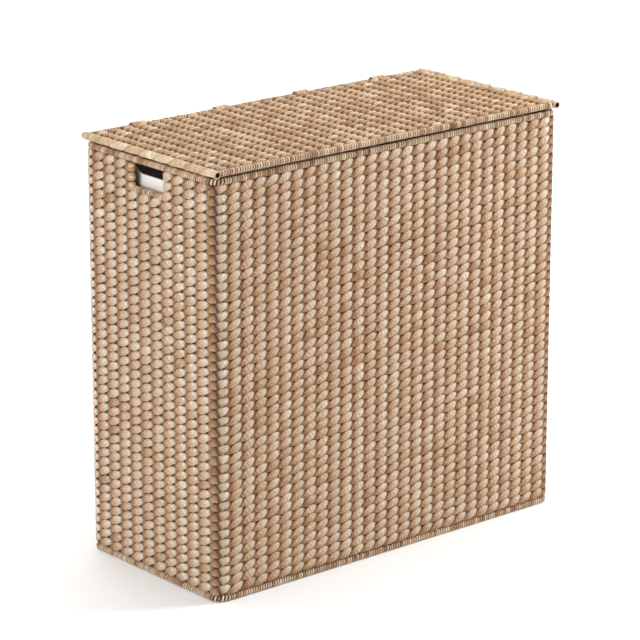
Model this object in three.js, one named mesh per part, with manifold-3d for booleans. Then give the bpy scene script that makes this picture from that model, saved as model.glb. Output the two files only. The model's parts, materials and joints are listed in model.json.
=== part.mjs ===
// Laundry hamper with a hinged lid: a wire frame, woven walls, base and lid, cord-bound rims,
// rope hinge loops, and two cotton liner bags that hang from rails inside.
// Millimetres, +Z up, front towards -Y, origin at the middle of the footprint on the floor.

import * as THREE from 'three';
import { mergeVertices } from 'three/addons/utils/BufferGeometryUtils.js';
import Module from 'manifold-3d';

const wasm = await Module();
wasm.setup();

// Overall sizes, with the lid closed
const width = 660;
const depth = 305;
const height = 635;

// Clearances
const gap = 0.3;              // between pieces that touch
const lidGap = 0.6;           // under the lid's end rolls
const hingeNotchGap = 1.2;    // round a hinge loop, which turns past level

// Woven walls, base and lid
const wallThick = 11;
const baseThick = 10;
const lidThick = 10;
const cornerRadius = 22;      // outside of the body's upright corners
const lidCornerRadius = 12;   // centreline of the lid rod's bends

// Rods, by diameter
const frameRod = 6;           // top, base and lid rings
const postRod = 6;            // uprights inside the walls
const railRod = 6;            // divider bar and liner rails
const barRod = 5;             // bars under the base and through the lid
const sillRod = 5;            // lower edge of each handle opening

// Wrappings
const bindingThick = 2;       // fine cord round the rims and sills
const rollThick = 3.5;        // wide rush round the lid's ends
const baseFlat = 1.5;         // half the flat strip that the base rim stands on

// Handle openings, one in each end wall
const handleWidth = 70;
const handleDrop = 33;
const sillEnd = 5;            // how far a sill runs into the wall past the opening

// Bars across the base and the lid
const crossBarCount = 3;

// Rope loops between the back rims
const hingeCount = 4;
const loopWidth = 26;
const loopThick = 2;

// Liner bags and the tabs that hang them
const clothThick = 2;
const bagCorner = 20;
const bagDrop = 15;           // hem below the middle of the rails
const bagInset = 4;           // bag to the front and back walls
const tabWidth = 24;
const tabThick = 1.6;
const tabOffset = 94;         // tabs from the middle, along a rail
const tabStagger = 18;        // shift that keeps the two bags' tabs apart on the divider bar
const tabLong = 36;
const tabShort = 10;

// Colours
const straw = 0xcfae83;
const paleStraw = 0xd8bd97;
const wrapCord = 0xb8935f;
const wireBrown = 0x4a3524;
const rope = 0xa67c4c;
const cotton = 0xe9e4dd;

// Facets
const roundSides = 16;        // round a rod
const bendSteps = 6;          // along a quarter bend
const bevelSteps = 3;         // along a quarter of a ring's section

// Worked-out places
const frameRadius = frameRod / 2;
const bindingRadius = frameRadius + bindingThick;
const rollRadius = frameRadius + rollThick;
const sillRadius = sillRod / 2 + bindingThick;
const wallMidX = width / 2 - wallThick / 2;
const wallMidY = depth / 2 - wallThick / 2;
const bendRadius = cornerRadius - wallThick / 2;
const bendX = wallMidX - bendRadius;
const bendY = wallMidY - bendRadius;
const postX = bendX + bendRadius * Math.SQRT1_2;
const postY = bendY + bendRadius * Math.SQRT1_2;
const loopInner = bindingRadius + gap;
const loopOuter = loopInner + loopThick;
const notchReach = loopOuter + hingeNotchGap;
const lidSideX = width / 2 - rollRadius;
const lidZ = height - Math.max(rollRadius, loopOuter);
const topZ = lidZ - rollRadius - lidGap - bindingRadius;
const baseZ = bindingRadius;
const wallBottom = baseZ + bindingRadius + gap;
const wallTop = topZ - bindingRadius - gap;
const baseTop = baseZ + barRod / 2 + gap + baseThick;
const railX = bendX - railRod / 2;
const tabInner = railRod / 2 + gap;
const tabOuter = tabInner + tabThick;
const sillZ = wallTop - handleDrop - sillRadius;

const hamper = new THREE.Group();

// ---------- helpers ----------

function toSolid(geometry) {
  const plain = geometry.clone();
  plain.deleteAttribute('normal');
  plain.deleteAttribute('uv');
  const merged = mergeVertices(plain, 1e-4);
  return new wasm.Manifold(new wasm.Mesh({
    numProp: 3,
    vertProperties: new Float32Array(merged.attributes.position.array),
    triVerts: new Uint32Array(merged.index.array),
  }));
}

function toGeometry(solid) {
  const mesh = solid.getMesh();
  const geometry = new THREE.BufferGeometry();
  geometry.setAttribute('position', new THREE.BufferAttribute(mesh.vertProperties, 3));
  geometry.setIndex(new THREE.BufferAttribute(mesh.triVerts, 1));
  return geometry;
}

function cut(body, cutters) {
  return toGeometry(cutters.reduce((solid, cutter) => solid.subtract(toSolid(cutter)), toSolid(body)));
}

function add(name, geometry, color, roughness, metalness = 0) {
  const material = new THREE.MeshStandardMaterial({ color, roughness, metalness });
  const mesh = new THREE.Mesh(geometry, material);
  mesh.name = name;
  hamper.add(mesh);
}

const addWire = (name, geometry) => add(name, geometry, wireBrown, 0.5, 0.6);
const addWeave = (name, geometry) => add(name, geometry, straw, 0.8);
const addWrap = (name, geometry) => add(name, geometry, wrapCord, 0.8);

// Corner points of a rounded rectangle, anticlockwise.
function roundedRectangle(halfX, halfY, radius) {
  const points = [];
  [[1, 1], [-1, 1], [-1, -1], [1, -1]].forEach(([signX, signY], quarter) => {
    for (let step = 0; step <= bendSteps; step += 1) {
      const angle = (Math.PI / 2) * (quarter + step / bendSteps);
      points.push(new THREE.Vector2(
        signX * (halfX - radius) + radius * Math.cos(angle),
        signY * (halfY - radius) + radius * Math.sin(angle),
      ));
    }
  });
  return points;
}

// A ring of round section that follows a rounded rectangle. Its section has a flat strip above
// and below, twice flat wide, because the bevels start from there.
function ring(halfX, halfY, bend, radius, z, flat = 0.2) {
  const outline = new THREE.Shape(roundedRectangle(halfX + flat, halfY + flat, bend + flat));
  outline.holes.push(new THREE.Path(roundedRectangle(halfX - flat, halfY - flat, bend - flat)));
  const middle = 0.2;
  const geometry = new THREE.ExtrudeGeometry(outline, {
    depth: 2 * middle,
    bevelThickness: radius - middle,
    bevelSize: radius - flat,
    bevelSegments: bevelSteps,
  });
  return geometry.translate(0, 0, z - middle);
}

// A slab with rounded corners in plan.
function slab(halfX, halfY, radius, bottom, top) {
  const outline = new THREE.Shape(roundedRectangle(halfX, halfY, radius));
  const geometry = new THREE.ExtrudeGeometry(outline, { depth: top - bottom, bevelEnabled: false });
  return geometry.translate(0, 0, bottom);
}

function block(lowX, highX, lowY, highY, lowZ, highZ) {
  const geometry = new THREE.BoxGeometry(highX - lowX, highY - lowY, highZ - lowZ);
  return geometry.translate((lowX + highX) / 2, (lowY + highY) / 2, (lowZ + highZ) / 2);
}

function rodAlongX(radius, lowX, highX, y, z) {
  const geometry = new THREE.CylinderGeometry(radius, radius, highX - lowX, roundSides);
  return geometry.rotateZ(Math.PI / 2).translate((lowX + highX) / 2, y, z);
}

function rodAlongY(radius, lowY, highY, x, z) {
  const geometry = new THREE.CylinderGeometry(radius, radius, highY - lowY, roundSides);
  return geometry.translate(x, (lowY + highY) / 2, z);
}

function rodAlongZ(radius, lowZ, highZ, x, y) {
  const geometry = new THREE.CylinderGeometry(radius, radius, highZ - lowZ, roundSides);
  return geometry.rotateX(Math.PI / 2).translate(x, y, (lowZ + highZ) / 2);
}

const sides = [['left', -1], ['right', 1]];
const ends = [['front', -1], ['back', 1]];
const crossBarX = Array.from({ length: crossBarCount }, (_, i) => (
  width * ((i + 1) / (crossBarCount + 1) - 0.5)
));
const hingeX = Array.from({ length: hingeCount }, (_, i) => 2 * bendX * ((i + 0.5) / hingeCount - 0.5));
const posts = [
  ...ends.flatMap(([endName, endSign]) => sides.map(([sideName, sideSign]) => (
    { name: `${endName}_${sideName}_post`, x: sideSign * postX, y: endSign * postY }
  ))),
  ...ends.map(([endName, endSign]) => ({ name: `${endName}_middle_post`, x: 0, y: endSign * wallMidY })),
];
const rails = [
  { name: 'divider_bar', x: 0 },
  ...sides.map(([sideName, sideSign]) => ({ name: `${sideName}_liner_rail`, x: sideSign * railX })),
];

// ---------- wire frame ----------

function buildFrame() {
  addWire('top_ring', ring(wallMidX, wallMidY, bendRadius, frameRadius, topZ));
  addWire('base_ring', ring(wallMidX, wallMidY, bendRadius, frameRadius, baseZ));
  const inset = frameRadius + gap;
  for (const { name, x, y } of posts) {
    addWire(name, rodAlongZ(postRod / 2, baseZ + inset, topZ - inset, x, y));
  }
  const reach = wallMidY - inset;
  for (const { name, x } of rails) {
    addWire(name, rodAlongY(railRod / 2, -reach, reach, x, topZ));
  }
  crossBarX.forEach((x, i) => {
    addWire(`base_bar_${i + 1}`, rodAlongY(barRod / 2, -reach, reach, x, baseZ));
  });
}

// ---------- woven body ----------

// The wall's ring is split on the middle of each upright corner, where the post stands half in
// each neighbour. The prism holds one side: halfLong and offset are the bend centre's distances
// along the wall and out to it.
function sidePrism(halfLong, offset, turn) {
  const inset = gap * Math.SQRT1_2;
  const reach = cornerRadius + wallThick;
  const outline = new THREE.Shape([
    new THREE.Vector2(-halfLong + inset, -offset),
    new THREE.Vector2(-halfLong + inset - reach, -offset - reach),
    new THREE.Vector2(halfLong - inset + reach, -offset - reach),
    new THREE.Vector2(halfLong - inset, -offset),
  ]);
  const geometry = new THREE.ExtrudeGeometry(outline, { depth: height, bevelEnabled: false });
  return geometry.rotateZ(turn);
}

function handleCutters(sign) {
  const outside = sign * (width / 2 + wallThick);
  const inside = sign * (width / 2 - 2 * wallThick);
  const low = Math.min(inside, outside);
  const high = Math.max(inside, outside);
  const half = handleWidth / 2;
  const sillHalf = half + sillEnd + gap;
  return [
    block(low, high, -half, half, sillZ, height),
    block(low, high, -sillHalf, sillHalf, sillZ - sillRadius - gap, sillZ + sillRadius + gap),
  ];
}

function buildWalls() {
  const innerX = width / 2 - wallThick;
  const innerY = depth / 2 - wallThick;
  const outside = toSolid(slab(width / 2, depth / 2, cornerRadius, wallBottom, wallTop));
  const inside = toSolid(slab(innerX, innerY, cornerRadius - wallThick, 0, height));
  let band = outside.subtract(inside);
  for (const { x, y } of posts) {
    band = band.subtract(toSolid(rodAlongZ(postRod / 2 + gap, 0, height, x, y)));
  }
  for (const x of hingeX) {
    const half = loopWidth / 2 + hingeNotchGap;
    band = band.subtract(toSolid(block(x - half, x + half, bendY, depth, topZ - notchReach, height)));
  }
  for (const [, sign] of sides) {
    for (const cutter of handleCutters(sign)) band = band.subtract(toSolid(cutter));
  }
  addWeave('front_wall', toGeometry(band.intersect(toSolid(sidePrism(bendX, bendY, 0)))));
  addWeave('back_wall', toGeometry(band.intersect(toSolid(sidePrism(bendX, bendY, Math.PI)))));
  // Each end wall stops under the sill, and the short rows beside its hand hole are two shoulders.
  const shelf = sillZ - sillRadius - gap;
  for (const [side, sign] of sides) {
    const wall = band.intersect(toSolid(sidePrism(bendY, bendX, (sign * Math.PI) / 2)));
    const below = block(-width, width, -depth, depth, 0, shelf);
    const front = block(-width, width, -depth, 0, shelf + gap, height);
    const back = block(-width, width, 0, depth, shelf + gap, height);
    addWeave(`${side}_wall`, toGeometry(wall.intersect(toSolid(below))));
    addWeave(`${side}_front_shoulder`, toGeometry(wall.intersect(toSolid(front))));
    addWeave(`${side}_back_shoulder`, toGeometry(wall.intersect(toSolid(back))));
  }
  const inset = wallThick + gap;
  const corner = cornerRadius - inset;
  addWeave('base_panel', slab(width / 2 - inset, depth / 2 - inset, corner, baseTop - baseThick, baseTop));
}

function buildRims() {
  const hollow = frameRadius + gap;
  const postBores = (low, high) => posts.map(({ x, y }) => rodAlongZ(postRod / 2 + gap, low, high, x, y));
  const barBores = (bars, radius, z) => bars.flatMap((x) => (
    ends.map(([, sign]) => rodAlongY(
      radius + gap,
      Math.min(sign * bendY, sign * wallMidY),
      Math.max(sign * bendY, sign * wallMidY),
      x,
      z,
    ))
  ));
  addWrap('top_binding', cut(ring(wallMidX, wallMidY, bendRadius, bindingRadius, topZ), [
    ring(wallMidX, wallMidY, bendRadius, hollow, topZ),
    ...postBores(topZ - wallThick, topZ),
    ...barBores(rails.map(({ x }) => x), railRod / 2, topZ),
  ]));
  addWrap('base_binding', cut(ring(wallMidX, wallMidY, bendRadius, bindingRadius, baseZ, baseFlat), [
    ring(wallMidX, wallMidY, bendRadius, hollow, baseZ),
    ...postBores(baseZ, baseZ + wallThick),
    ...barBores(crossBarX, barRod / 2, baseZ),
  ]));
}

function buildHandles() {
  const half = handleWidth / 2 + sillEnd;
  for (const [name, sign] of sides) {
    const x = sign * wallMidX;
    addWire(`${name}_handle_rod`, rodAlongY(sillRod / 2, -half, half, x, sillZ));
    addWrap(`${name}_handle_binding`, cut(rodAlongY(sillRadius, -half, half, x, sillZ), [
      rodAlongY(sillRod / 2 + gap, -depth, depth, x, sillZ),
    ]));
  }
}

// ---------- liner bags ----------

// An upside-down U in section: its longer leg hangs at -X and lies on the bag's outside.
function tabGeometry(sign) {
  const points = [new THREE.Vector2(tabOuter, -tabShort)];
  for (let step = 0; step <= 2 * bendSteps; step += 1) {
    const angle = Math.PI * (step / (2 * bendSteps));
    points.push(new THREE.Vector2(tabOuter * Math.cos(angle), tabOuter * Math.sin(angle)));
  }
  points.push(new THREE.Vector2(-tabOuter, -tabLong), new THREE.Vector2(-tabInner, -tabLong));
  for (let step = 0; step <= 2 * bendSteps; step += 1) {
    const angle = Math.PI * (1 - step / (2 * bendSteps));
    points.push(new THREE.Vector2(tabInner * Math.cos(angle), tabInner * Math.sin(angle)));
  }
  points.push(new THREE.Vector2(tabInner, -tabShort));
  const outline = new THREE.Shape(points);
  const geometry = new THREE.ExtrudeGeometry(outline, { depth: tabWidth, bevelEnabled: false });
  geometry.rotateX(Math.PI / 2).translate(0, tabWidth / 2, 0);
  if (sign > 0) geometry.rotateZ(Math.PI);
  return geometry;
}

function buildLiners() {
  const innerEdge = tabOuter + gap;
  const outerEdge = railX - tabOuter - gap;
  const halfX = (outerEdge - innerEdge) / 2;
  const halfY = depth / 2 - wallThick - bagInset;
  const floor = baseTop + gap;
  for (const [name, sign] of sides) {
    const middle = sign * (innerEdge + outerEdge) / 2;
    const outer = slab(halfX, halfY, bagCorner, floor, topZ - bagDrop);
    const radius = bagCorner - clothThick;
    const inner = slab(halfX - clothThick, halfY - clothThick, radius, floor + clothThick, height);
    const bag = cut(outer, [inner]);
    add(`${name}_liner_bag`, bag.translate(middle, 0, 0), cotton, 0.9);
    const hangers = [
      { rail: 'end', x: sign * railX, legSign: sign, shift: 0 },
      { rail: 'divider', x: 0, legSign: -sign, shift: sign * tabStagger },
    ];
    for (const { rail, x, legSign, shift } of hangers) {
      for (const [endName, endSign] of ends) {
        const tab = tabGeometry(legSign);
        tab.translate(x, endSign * tabOffset + shift, topZ);
        add(`${name}_${rail}_tab_${endName}`, tab, cotton, 0.9);
      }
    }
  }
}

// ---------- lid ----------

function buildLid() {
  const lidRing = (radius) => ring(lidSideX, wallMidY, lidCornerRadius, radius, lidZ);
  const hollow = lidRing(frameRadius + gap);
  addWire('lid_ring', lidRing(frameRadius));
  const reach = wallMidY - frameRadius - gap;
  const bores = crossBarX.map((x) => rodAlongY(barRod / 2 + gap, -wallMidY, wallMidY, x, lidZ));
  crossBarX.forEach((x, i) => addWire(`lid_bar_${i + 1}`, rodAlongY(barRod / 2, -reach, reach, x, lidZ)));

  const panelX = lidSideX - rollRadius - gap;
  const panelY = wallMidY - bindingRadius - gap;
  const notchHalf = loopWidth / 2 + hingeNotchGap;
  const notches = hingeX.map((x) => (
    block(x - notchHalf, x + notchHalf, wallMidY - notchReach, depth, topZ, height)
  ));
  const panel = block(-panelX, panelX, -panelY, panelY, lidZ - lidThick / 2, lidZ + lidThick / 2);
  addWeave('lid_panel', cut(panel, [...bores, ...notches]));

  const rimX = panelX - gap;
  for (const [name, sign] of ends) {
    const rim = rodAlongX(bindingRadius, -rimX, rimX, sign * wallMidY, lidZ);
    addWrap(`lid_${name}_binding`, cut(rim, [hollow, ...bores]));
  }
  // Each end roll is a long pill that stops flush with the body's front and back.
  const rollHalf = depth / 2 - rollRadius;
  for (const [name, sign] of sides) {
    const roll = new THREE.CapsuleGeometry(rollRadius, 2 * rollHalf, bendSteps, roundSides);
    const wrap = cut(roll.translate(sign * lidSideX, 0, lidZ), [hollow]);
    add(`lid_${name}_roll`, wrap, paleStraw, 0.75);
  }
}

// A stadium-shaped ring of rope round the body's back rim and the lid's.
function buildHinges() {
  const stadium = (radius) => {
    const points = [];
    for (const [start, centre] of [[0, lidZ], [1, topZ]]) {
      for (let step = 0; step <= 2 * bendSteps; step += 1) {
        const angle = Math.PI * (start + step / (2 * bendSteps));
        points.push(new THREE.Vector2(radius * Math.cos(angle), centre + radius * Math.sin(angle)));
      }
    }
    return points;
  };
  const outline = new THREE.Shape(stadium(loopOuter));
  outline.holes.push(new THREE.Path(stadium(loopInner)));
  hingeX.forEach((x, i) => {
    const loop = new THREE.ExtrudeGeometry(outline, { depth: loopWidth, bevelEnabled: false });
    loop.rotateX(Math.PI / 2).rotateZ(Math.PI / 2).translate(x - loopWidth / 2, wallMidY, 0);
    add(`hinge_loop_${i + 1}`, loop, rope, 0.85);
  });
}

buildFrame();
buildWalls();
buildRims();
buildHandles();
buildLiners();
buildLid();
buildHinges();

export default hamper;
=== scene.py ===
"""A woven laundry hamper with a rope-hinged lid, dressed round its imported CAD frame.

Every length is in metres, in the frame's own coordinates: +Z up, +X along the long side, the front
at -Y and the hinge at +Y. Each class below is one sub-assembly: its sizes are its fields, and its
methods build its meshes and dress them.
"""

import json
import logging
import math
from dataclasses import dataclass, field, replace
from enum import Enum
from typing import Callable, Sequence

import bpy
import numpy as np
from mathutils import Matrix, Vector


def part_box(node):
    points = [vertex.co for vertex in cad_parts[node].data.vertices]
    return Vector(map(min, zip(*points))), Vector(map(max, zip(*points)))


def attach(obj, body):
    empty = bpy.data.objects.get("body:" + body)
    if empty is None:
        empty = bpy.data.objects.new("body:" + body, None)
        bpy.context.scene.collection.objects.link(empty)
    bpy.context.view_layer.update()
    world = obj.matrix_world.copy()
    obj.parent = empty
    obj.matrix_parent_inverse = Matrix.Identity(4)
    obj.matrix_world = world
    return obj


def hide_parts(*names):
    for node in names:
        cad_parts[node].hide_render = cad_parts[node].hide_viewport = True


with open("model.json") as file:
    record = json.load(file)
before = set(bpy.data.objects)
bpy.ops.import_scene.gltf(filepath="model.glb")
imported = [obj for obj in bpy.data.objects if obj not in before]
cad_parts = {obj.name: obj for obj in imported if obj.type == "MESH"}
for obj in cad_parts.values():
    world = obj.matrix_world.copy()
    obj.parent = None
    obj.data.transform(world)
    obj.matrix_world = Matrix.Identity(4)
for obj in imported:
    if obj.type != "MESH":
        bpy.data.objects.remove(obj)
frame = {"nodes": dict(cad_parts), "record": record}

log = logging.getLogger("hamper")

Array = np.ndarray
Colour = tuple[float, float, float]
Line = Callable[[Array], tuple[Array, Array, Array]]

SOCKET_KINDS = {1: "NodeSocketFloat", 3: "NodeSocketVector", 4: "NodeSocketColor"}

# Whole stakes are reached by sums of fractions, so a place is nudged on before it is rounded down.
NUDGE = 1e-9


class Body(Enum):
    """The three CAD bodies that pieces ride on."""

    HAMPER = "hamper_body"
    LOOPS = "hinge_loops"
    LID = "lid"


class Slot(Enum):
    """The record's material slots."""

    WIRE = "frame_wire"
    STRAW = "woven_straw"
    CORD = "rim_cord"
    RUSH = "wide_rush"
    ROPE = "hinge_rope"
    COTTON = "liner_cotton"


class Side(Enum):
    """The hamper's two ends, with the sign of their X."""

    LEFT = -1
    RIGHT = 1

    @property
    def word(self) -> str:
        """The side's name as the CAD nodes spell it."""
        return self.name.lower()


class Facing(Enum):
    """The hamper's front and back, with the sign of their Y."""

    FRONT = -1
    BACK = 1

    @property
    def word(self) -> str:
        """The facing's name as the CAD nodes spell it."""
        return self.name.lower()


# ---------------------------------------------------------------------------------------------
# Surfaces as whole arrays
# ---------------------------------------------------------------------------------------------


def unit(vectors: Array) -> Array:
    """Scales vectors to length one.

    Args:
        vectors: An array whose last axis holds x, y and z.

    Returns:
        The same directions, each of length one.
    """
    return vectors / np.maximum(np.linalg.norm(vectors, axis=-1, keepdims=True), 1e-12)


def ease(value: Array, low: float, high: float) -> Array:
    """Rises smoothly from 0 at low to 1 at high: 3 t squared less 2 t cubed.

    Args:
        value: Any numbers.
        low: Where the rise starts.
        high: Where it ends.

    Returns:
        Numbers from 0 to 1.
    """
    t = np.clip((value - low) / (high - low), 0.0, 1.0)
    return t * t * (3.0 - 2.0 * t)


def drift(length: int, count: int, waves: int, rng: np.random.Generator) -> Array:
    """Slow seamless wander: a sum of sines of whole periods, each with a random size and start.

    Args:
        length: Samples along a line.
        count: Number of lines.
        waves: The most periods in a line.
        rng: The source of chance.

    Returns:
        An array (count, length) that mostly lies between -1 and 1.
    """
    turn = np.linspace(0.0, 2.0 * np.pi, length, endpoint=False)
    periods = np.arange(1, waves + 1)
    size = rng.normal(0.0, 1.0, (count, waves)) / np.sqrt(waves)
    start = rng.uniform(0.0, 2.0 * np.pi, (count, waves))
    return np.einsum("cw,cwl->cl", size, np.sin(periods[None, :, None] * turn + start[:, :, None]))


@dataclass
class Skin:
    """A mesh as arrays: points, four-sided faces, a UV at each face corner and named point values."""

    points: Array
    quads: Array
    uvs: Array
    values: dict[str, Array]

    @staticmethod
    def join(skins: Sequence["Skin"]) -> "Skin":
        """Puts several skins into one.

        Args:
            skins: Skins that hold the same named values.

        Returns:
            One skin with all their faces.
        """
        starts = np.cumsum([0] + [len(s.points) for s in skins[:-1]])
        return Skin(
            np.concatenate([s.points for s in skins]),
            np.concatenate([s.quads + start for s, start in zip(skins, starts)]),
            np.concatenate([s.uvs for s in skins]),
            {k: np.concatenate([s.values[k] for s in skins]) for k in skins[0].values},
        )

    def build(self, name: str) -> bpy.types.Object:
        """Makes a smooth-shaded Blender object at the origin from the arrays.

        Args:
            name: The piece's name.

        Returns:
            The new object, linked to the scene.
        """
        mesh = bpy.data.meshes.new(name)
        mesh.vertices.add(len(self.points))
        mesh.vertices.foreach_set("co", self.points.astype(np.float32).ravel())
        mesh.loops.add(self.quads.size)
        mesh.loops.foreach_set("vertex_index", self.quads.astype(np.int32).ravel())
        mesh.polygons.add(len(self.quads))
        mesh.polygons.foreach_set("loop_start", np.arange(0, self.quads.size, 4, dtype=np.int32))
        mesh.update(calc_edges=True)
        layer = mesh.uv_layers.new(name="run")
        layer.uv.foreach_set("vector", self.uvs.astype(np.float32).ravel())
        for key, numbers in self.values.items():
            attribute = mesh.attributes.new(key, "FLOAT", "POINT")
            attribute.data.foreach_set("value", numbers.astype(np.float32).ravel())
        mesh.shade_smooth()
        made = bpy.data.objects.new(name, mesh)
        bpy.context.scene.collection.objects.link(made)
        return made


def cap_quads(sides: int) -> Array:
    """Four-sided faces that close a ring of an even number of points, zigzag from one side across.

    Args:
        sides: Points round the ring.

    Returns:
        Faces (sides / 2 - 1, 4) that turn the same way as the ring does.
    """
    m = np.arange(sides // 2 - 1)
    return np.stack([(-m) % sides, m + 1, m + 2, (-m - 1) % sides], axis=1)


def tube_quads(rings: int, sides: int) -> Array:
    """Four-sided faces between neighbouring rings of points, each ring closed on itself.

    Args:
        rings: Rings along the tube.
        sides: Points round each ring.

    Returns:
        Faces ((rings - 1) * sides, 4) for points in the order (rings, sides).
    """
    ring, side = np.meshgrid(np.arange(rings - 1), np.arange(sides), indexing="ij")
    start, start_on, side_on = ring * sides, (ring + 1) * sides, (side + 1) % sides
    quads = np.stack([start + side, start_on + side, start_on + side_on, start + side_on], axis=-1)
    return quads.reshape(-1, 4)


def corner_uvs(u: Array, u_on: Array, v: Array, v_on: Array) -> Array:
    """The UVs at the corners of four-sided faces: u and v, u and v_on, u_on and v_on, u_on and v.

    Args:
        u: The first u of each face.
        u_on: Its other u.
        v: The first v of each face.
        v_on: Its other v.

    Returns:
        UVs (faces, 4, 2).
    """
    corners_in_turn = ((u, v), (u, v_on), (u_on, v_on), (u_on, v))
    return np.stack([np.stack(pair, axis=-1) for pair in corners_in_turn], axis=-2).reshape(-1, 4, 2)


def sweep(
    centres: Array,
    outward: Array,
    half_width: Array | float,
    half_depth: Array | float,
    sides: int,
    closed: bool,
    squareness: float = 0.85,
    values: dict[str, Array | float] | None = None,
) -> Skin:
    """Carries an oval section along many lines at once.

    A point of the surface is centre + across * half_width * c + out * half_depth * s. Here c and s
    are the cosine and sine of the angle round the section, each raised to the power squareness
    with its sign kept, across is square to the line in the piece's own face, and out is square to
    both.

    Args:
        centres: Lines of points (lines, steps, 3).
        outward: The way the section's thin side looks (lines, steps, 3).
        half_width: Half the section's width, one number or (lines, steps).
        half_depth: Half the section's thickness, one number or (lines, steps).
        sides: Points round the section, an even number.
        closed: True if each line ends where it starts.
        squareness: 1 for an oval, less for one with fuller corners.
        values: Point values by name, each one number or an array that fits (lines, steps, sides).

    Returns:
        The skin of all the lines. Its points are in the order (lines, steps, sides).
    """
    lines, steps, _ = centres.shape
    if closed:
        tangent = np.roll(centres, -1, axis=1) - np.roll(centres, 1, axis=1)
    else:
        tangent = np.gradient(centres, axis=1)
    tangent = unit(tangent)
    across = unit(np.cross(outward, tangent))
    out = np.cross(tangent, across)
    angle = np.arange(sides) * (2.0 * np.pi / sides)
    c, s = np.cos(angle), np.sin(angle)
    c, s = np.sign(c) * np.abs(c) ** squareness, np.sign(s) * np.abs(s) ** squareness
    wide = np.broadcast_to(half_width, (lines, steps))[..., None, None]
    deep = np.broadcast_to(half_depth, (lines, steps))[..., None, None]
    points = (
        centres[:, :, None, :]
        + across[:, :, None, :] * wide * c[:, None]
        + out[:, :, None, :] * deep * s[:, None]
    )
    rows = steps if closed else steps - 1
    line, step, side = np.meshgrid(np.arange(lines), np.arange(rows), np.arange(sides), indexing="ij")
    step_on, side_on = (step + 1) % steps, (side + 1) % sides
    start, start_on = (line * steps + step) * sides, (line * steps + step_on) * sides
    quads = np.stack([start + side, start + side_on, start_on + side_on, start_on + side], axis=-1)
    hop = np.linalg.norm(np.diff(centres, axis=1, append=centres[:, :1]), axis=-1)
    run = np.concatenate([np.zeros((lines, 1)), np.cumsum(hop, axis=1)], axis=1)
    girth = float(np.mean(wide) + np.mean(deep)) * np.pi / sides
    u, u_on = run[line, step], run[line, step + 1]
    quads, uvs = quads.reshape(-1, 4), corner_uvs(u, u_on, side * girth, (side + 1) * girth)
    if not closed:
        cap = cap_quads(sides)
        first = np.arange(lines)[:, None, None] * steps * sides
        ends = [(cap[:, ::-1] + first).reshape(-1, 4), (cap + first + (steps - 1) * sides).reshape(-1, 4)]
        quads = np.concatenate([quads, *ends])
        uvs = np.concatenate([uvs, np.zeros((sum(len(e) for e in ends), 4, 2))])
    named = {
        key: np.broadcast_to(number, (lines, steps, sides)).reshape(-1).astype(float)
        for key, number in (values or {}).items()
    }
    return Skin(points.reshape(-1, 3), quads, uvs, named)


@dataclass
class RoundedRing:
    """The rounded rectangle that a rim or a wall's middle follows.

    It starts at the front's left bend and runs left to right as seen from outside, all the way
    round.
    """

    half_x: float
    half_y: float
    bend: float

    def __post_init__(self) -> None:
        """Works out the eight stretches: a straight, then a quarter bend, four times over."""
        bx, by, r = self.half_x - self.bend, self.half_y - self.bend, self.bend
        straights = [2 * bx, 2 * by, 2 * bx, 2 * by]
        lengths = np.array([v for straight in straights for v in (straight, r * np.pi / 2)])
        self.starts = np.concatenate([[0.0], np.cumsum(lengths)[:-1]])
        self.length = float(lengths.sum())
        self.heading = np.repeat(np.arange(4) * np.pi / 2, 2)
        self.origin = np.array(
            [
                [-bx, -by - r], [bx, -by], [bx + r, -by], [bx, by],
                [bx, by + r], [-bx, by], [-bx - r, by], [-bx, -by],
            ]
        )  # fmt: skip

    def at(self, travel: Array) -> tuple[Array, Array]:
        """Finds places along the ring.

        A straight's point is its start plus travel along its heading. A bend's point is its centre
        plus the bend's radius along a direction that turns with travel.

        Args:
            travel: Distances along the ring, of any shape.

        Returns:
            The points and the outward directions, each with a last axis of x, y and z at z = 0.
        """
        s = np.mod(travel, self.length)
        part = np.clip(np.searchsorted(self.starts, s, side="right") - 1, 0, 7)
        local, heading, bent = s - self.starts[part], self.heading[part], part % 2 == 1
        look = heading - np.pi / 2 + np.where(bent, local / self.bend, 0.0)
        outward = np.stack([np.cos(look), np.sin(look), np.zeros_like(look)], axis=-1)
        ahead = np.stack([np.cos(heading), np.sin(heading), np.zeros_like(heading)], axis=-1)
        start = np.concatenate([self.origin[part], np.zeros(part.shape + (1,))], axis=-1)
        straight = start + ahead * local[..., None]
        return np.where(bent[..., None], start + outward * self.bend, straight), outward


# ---------------------------------------------------------------------------------------------
# Shader building
# ---------------------------------------------------------------------------------------------


def linear(red: int, green: int, blue: int) -> Colour:
    """Turns a colour of 0 to 255 as seen on a screen into the linear numbers shaders take."""
    screen = (red / 255, green / 255, blue / 255)
    return tuple(c / 12.92 if c <= 0.04045 else ((c + 0.055) / 1.055) ** 2.4 for c in screen)


def opaque(colour: Colour) -> tuple[float, float, float, float]:
    """A colour as a colour socket takes it, with its alpha at 1."""
    return (*colour, 1.0)


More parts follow.
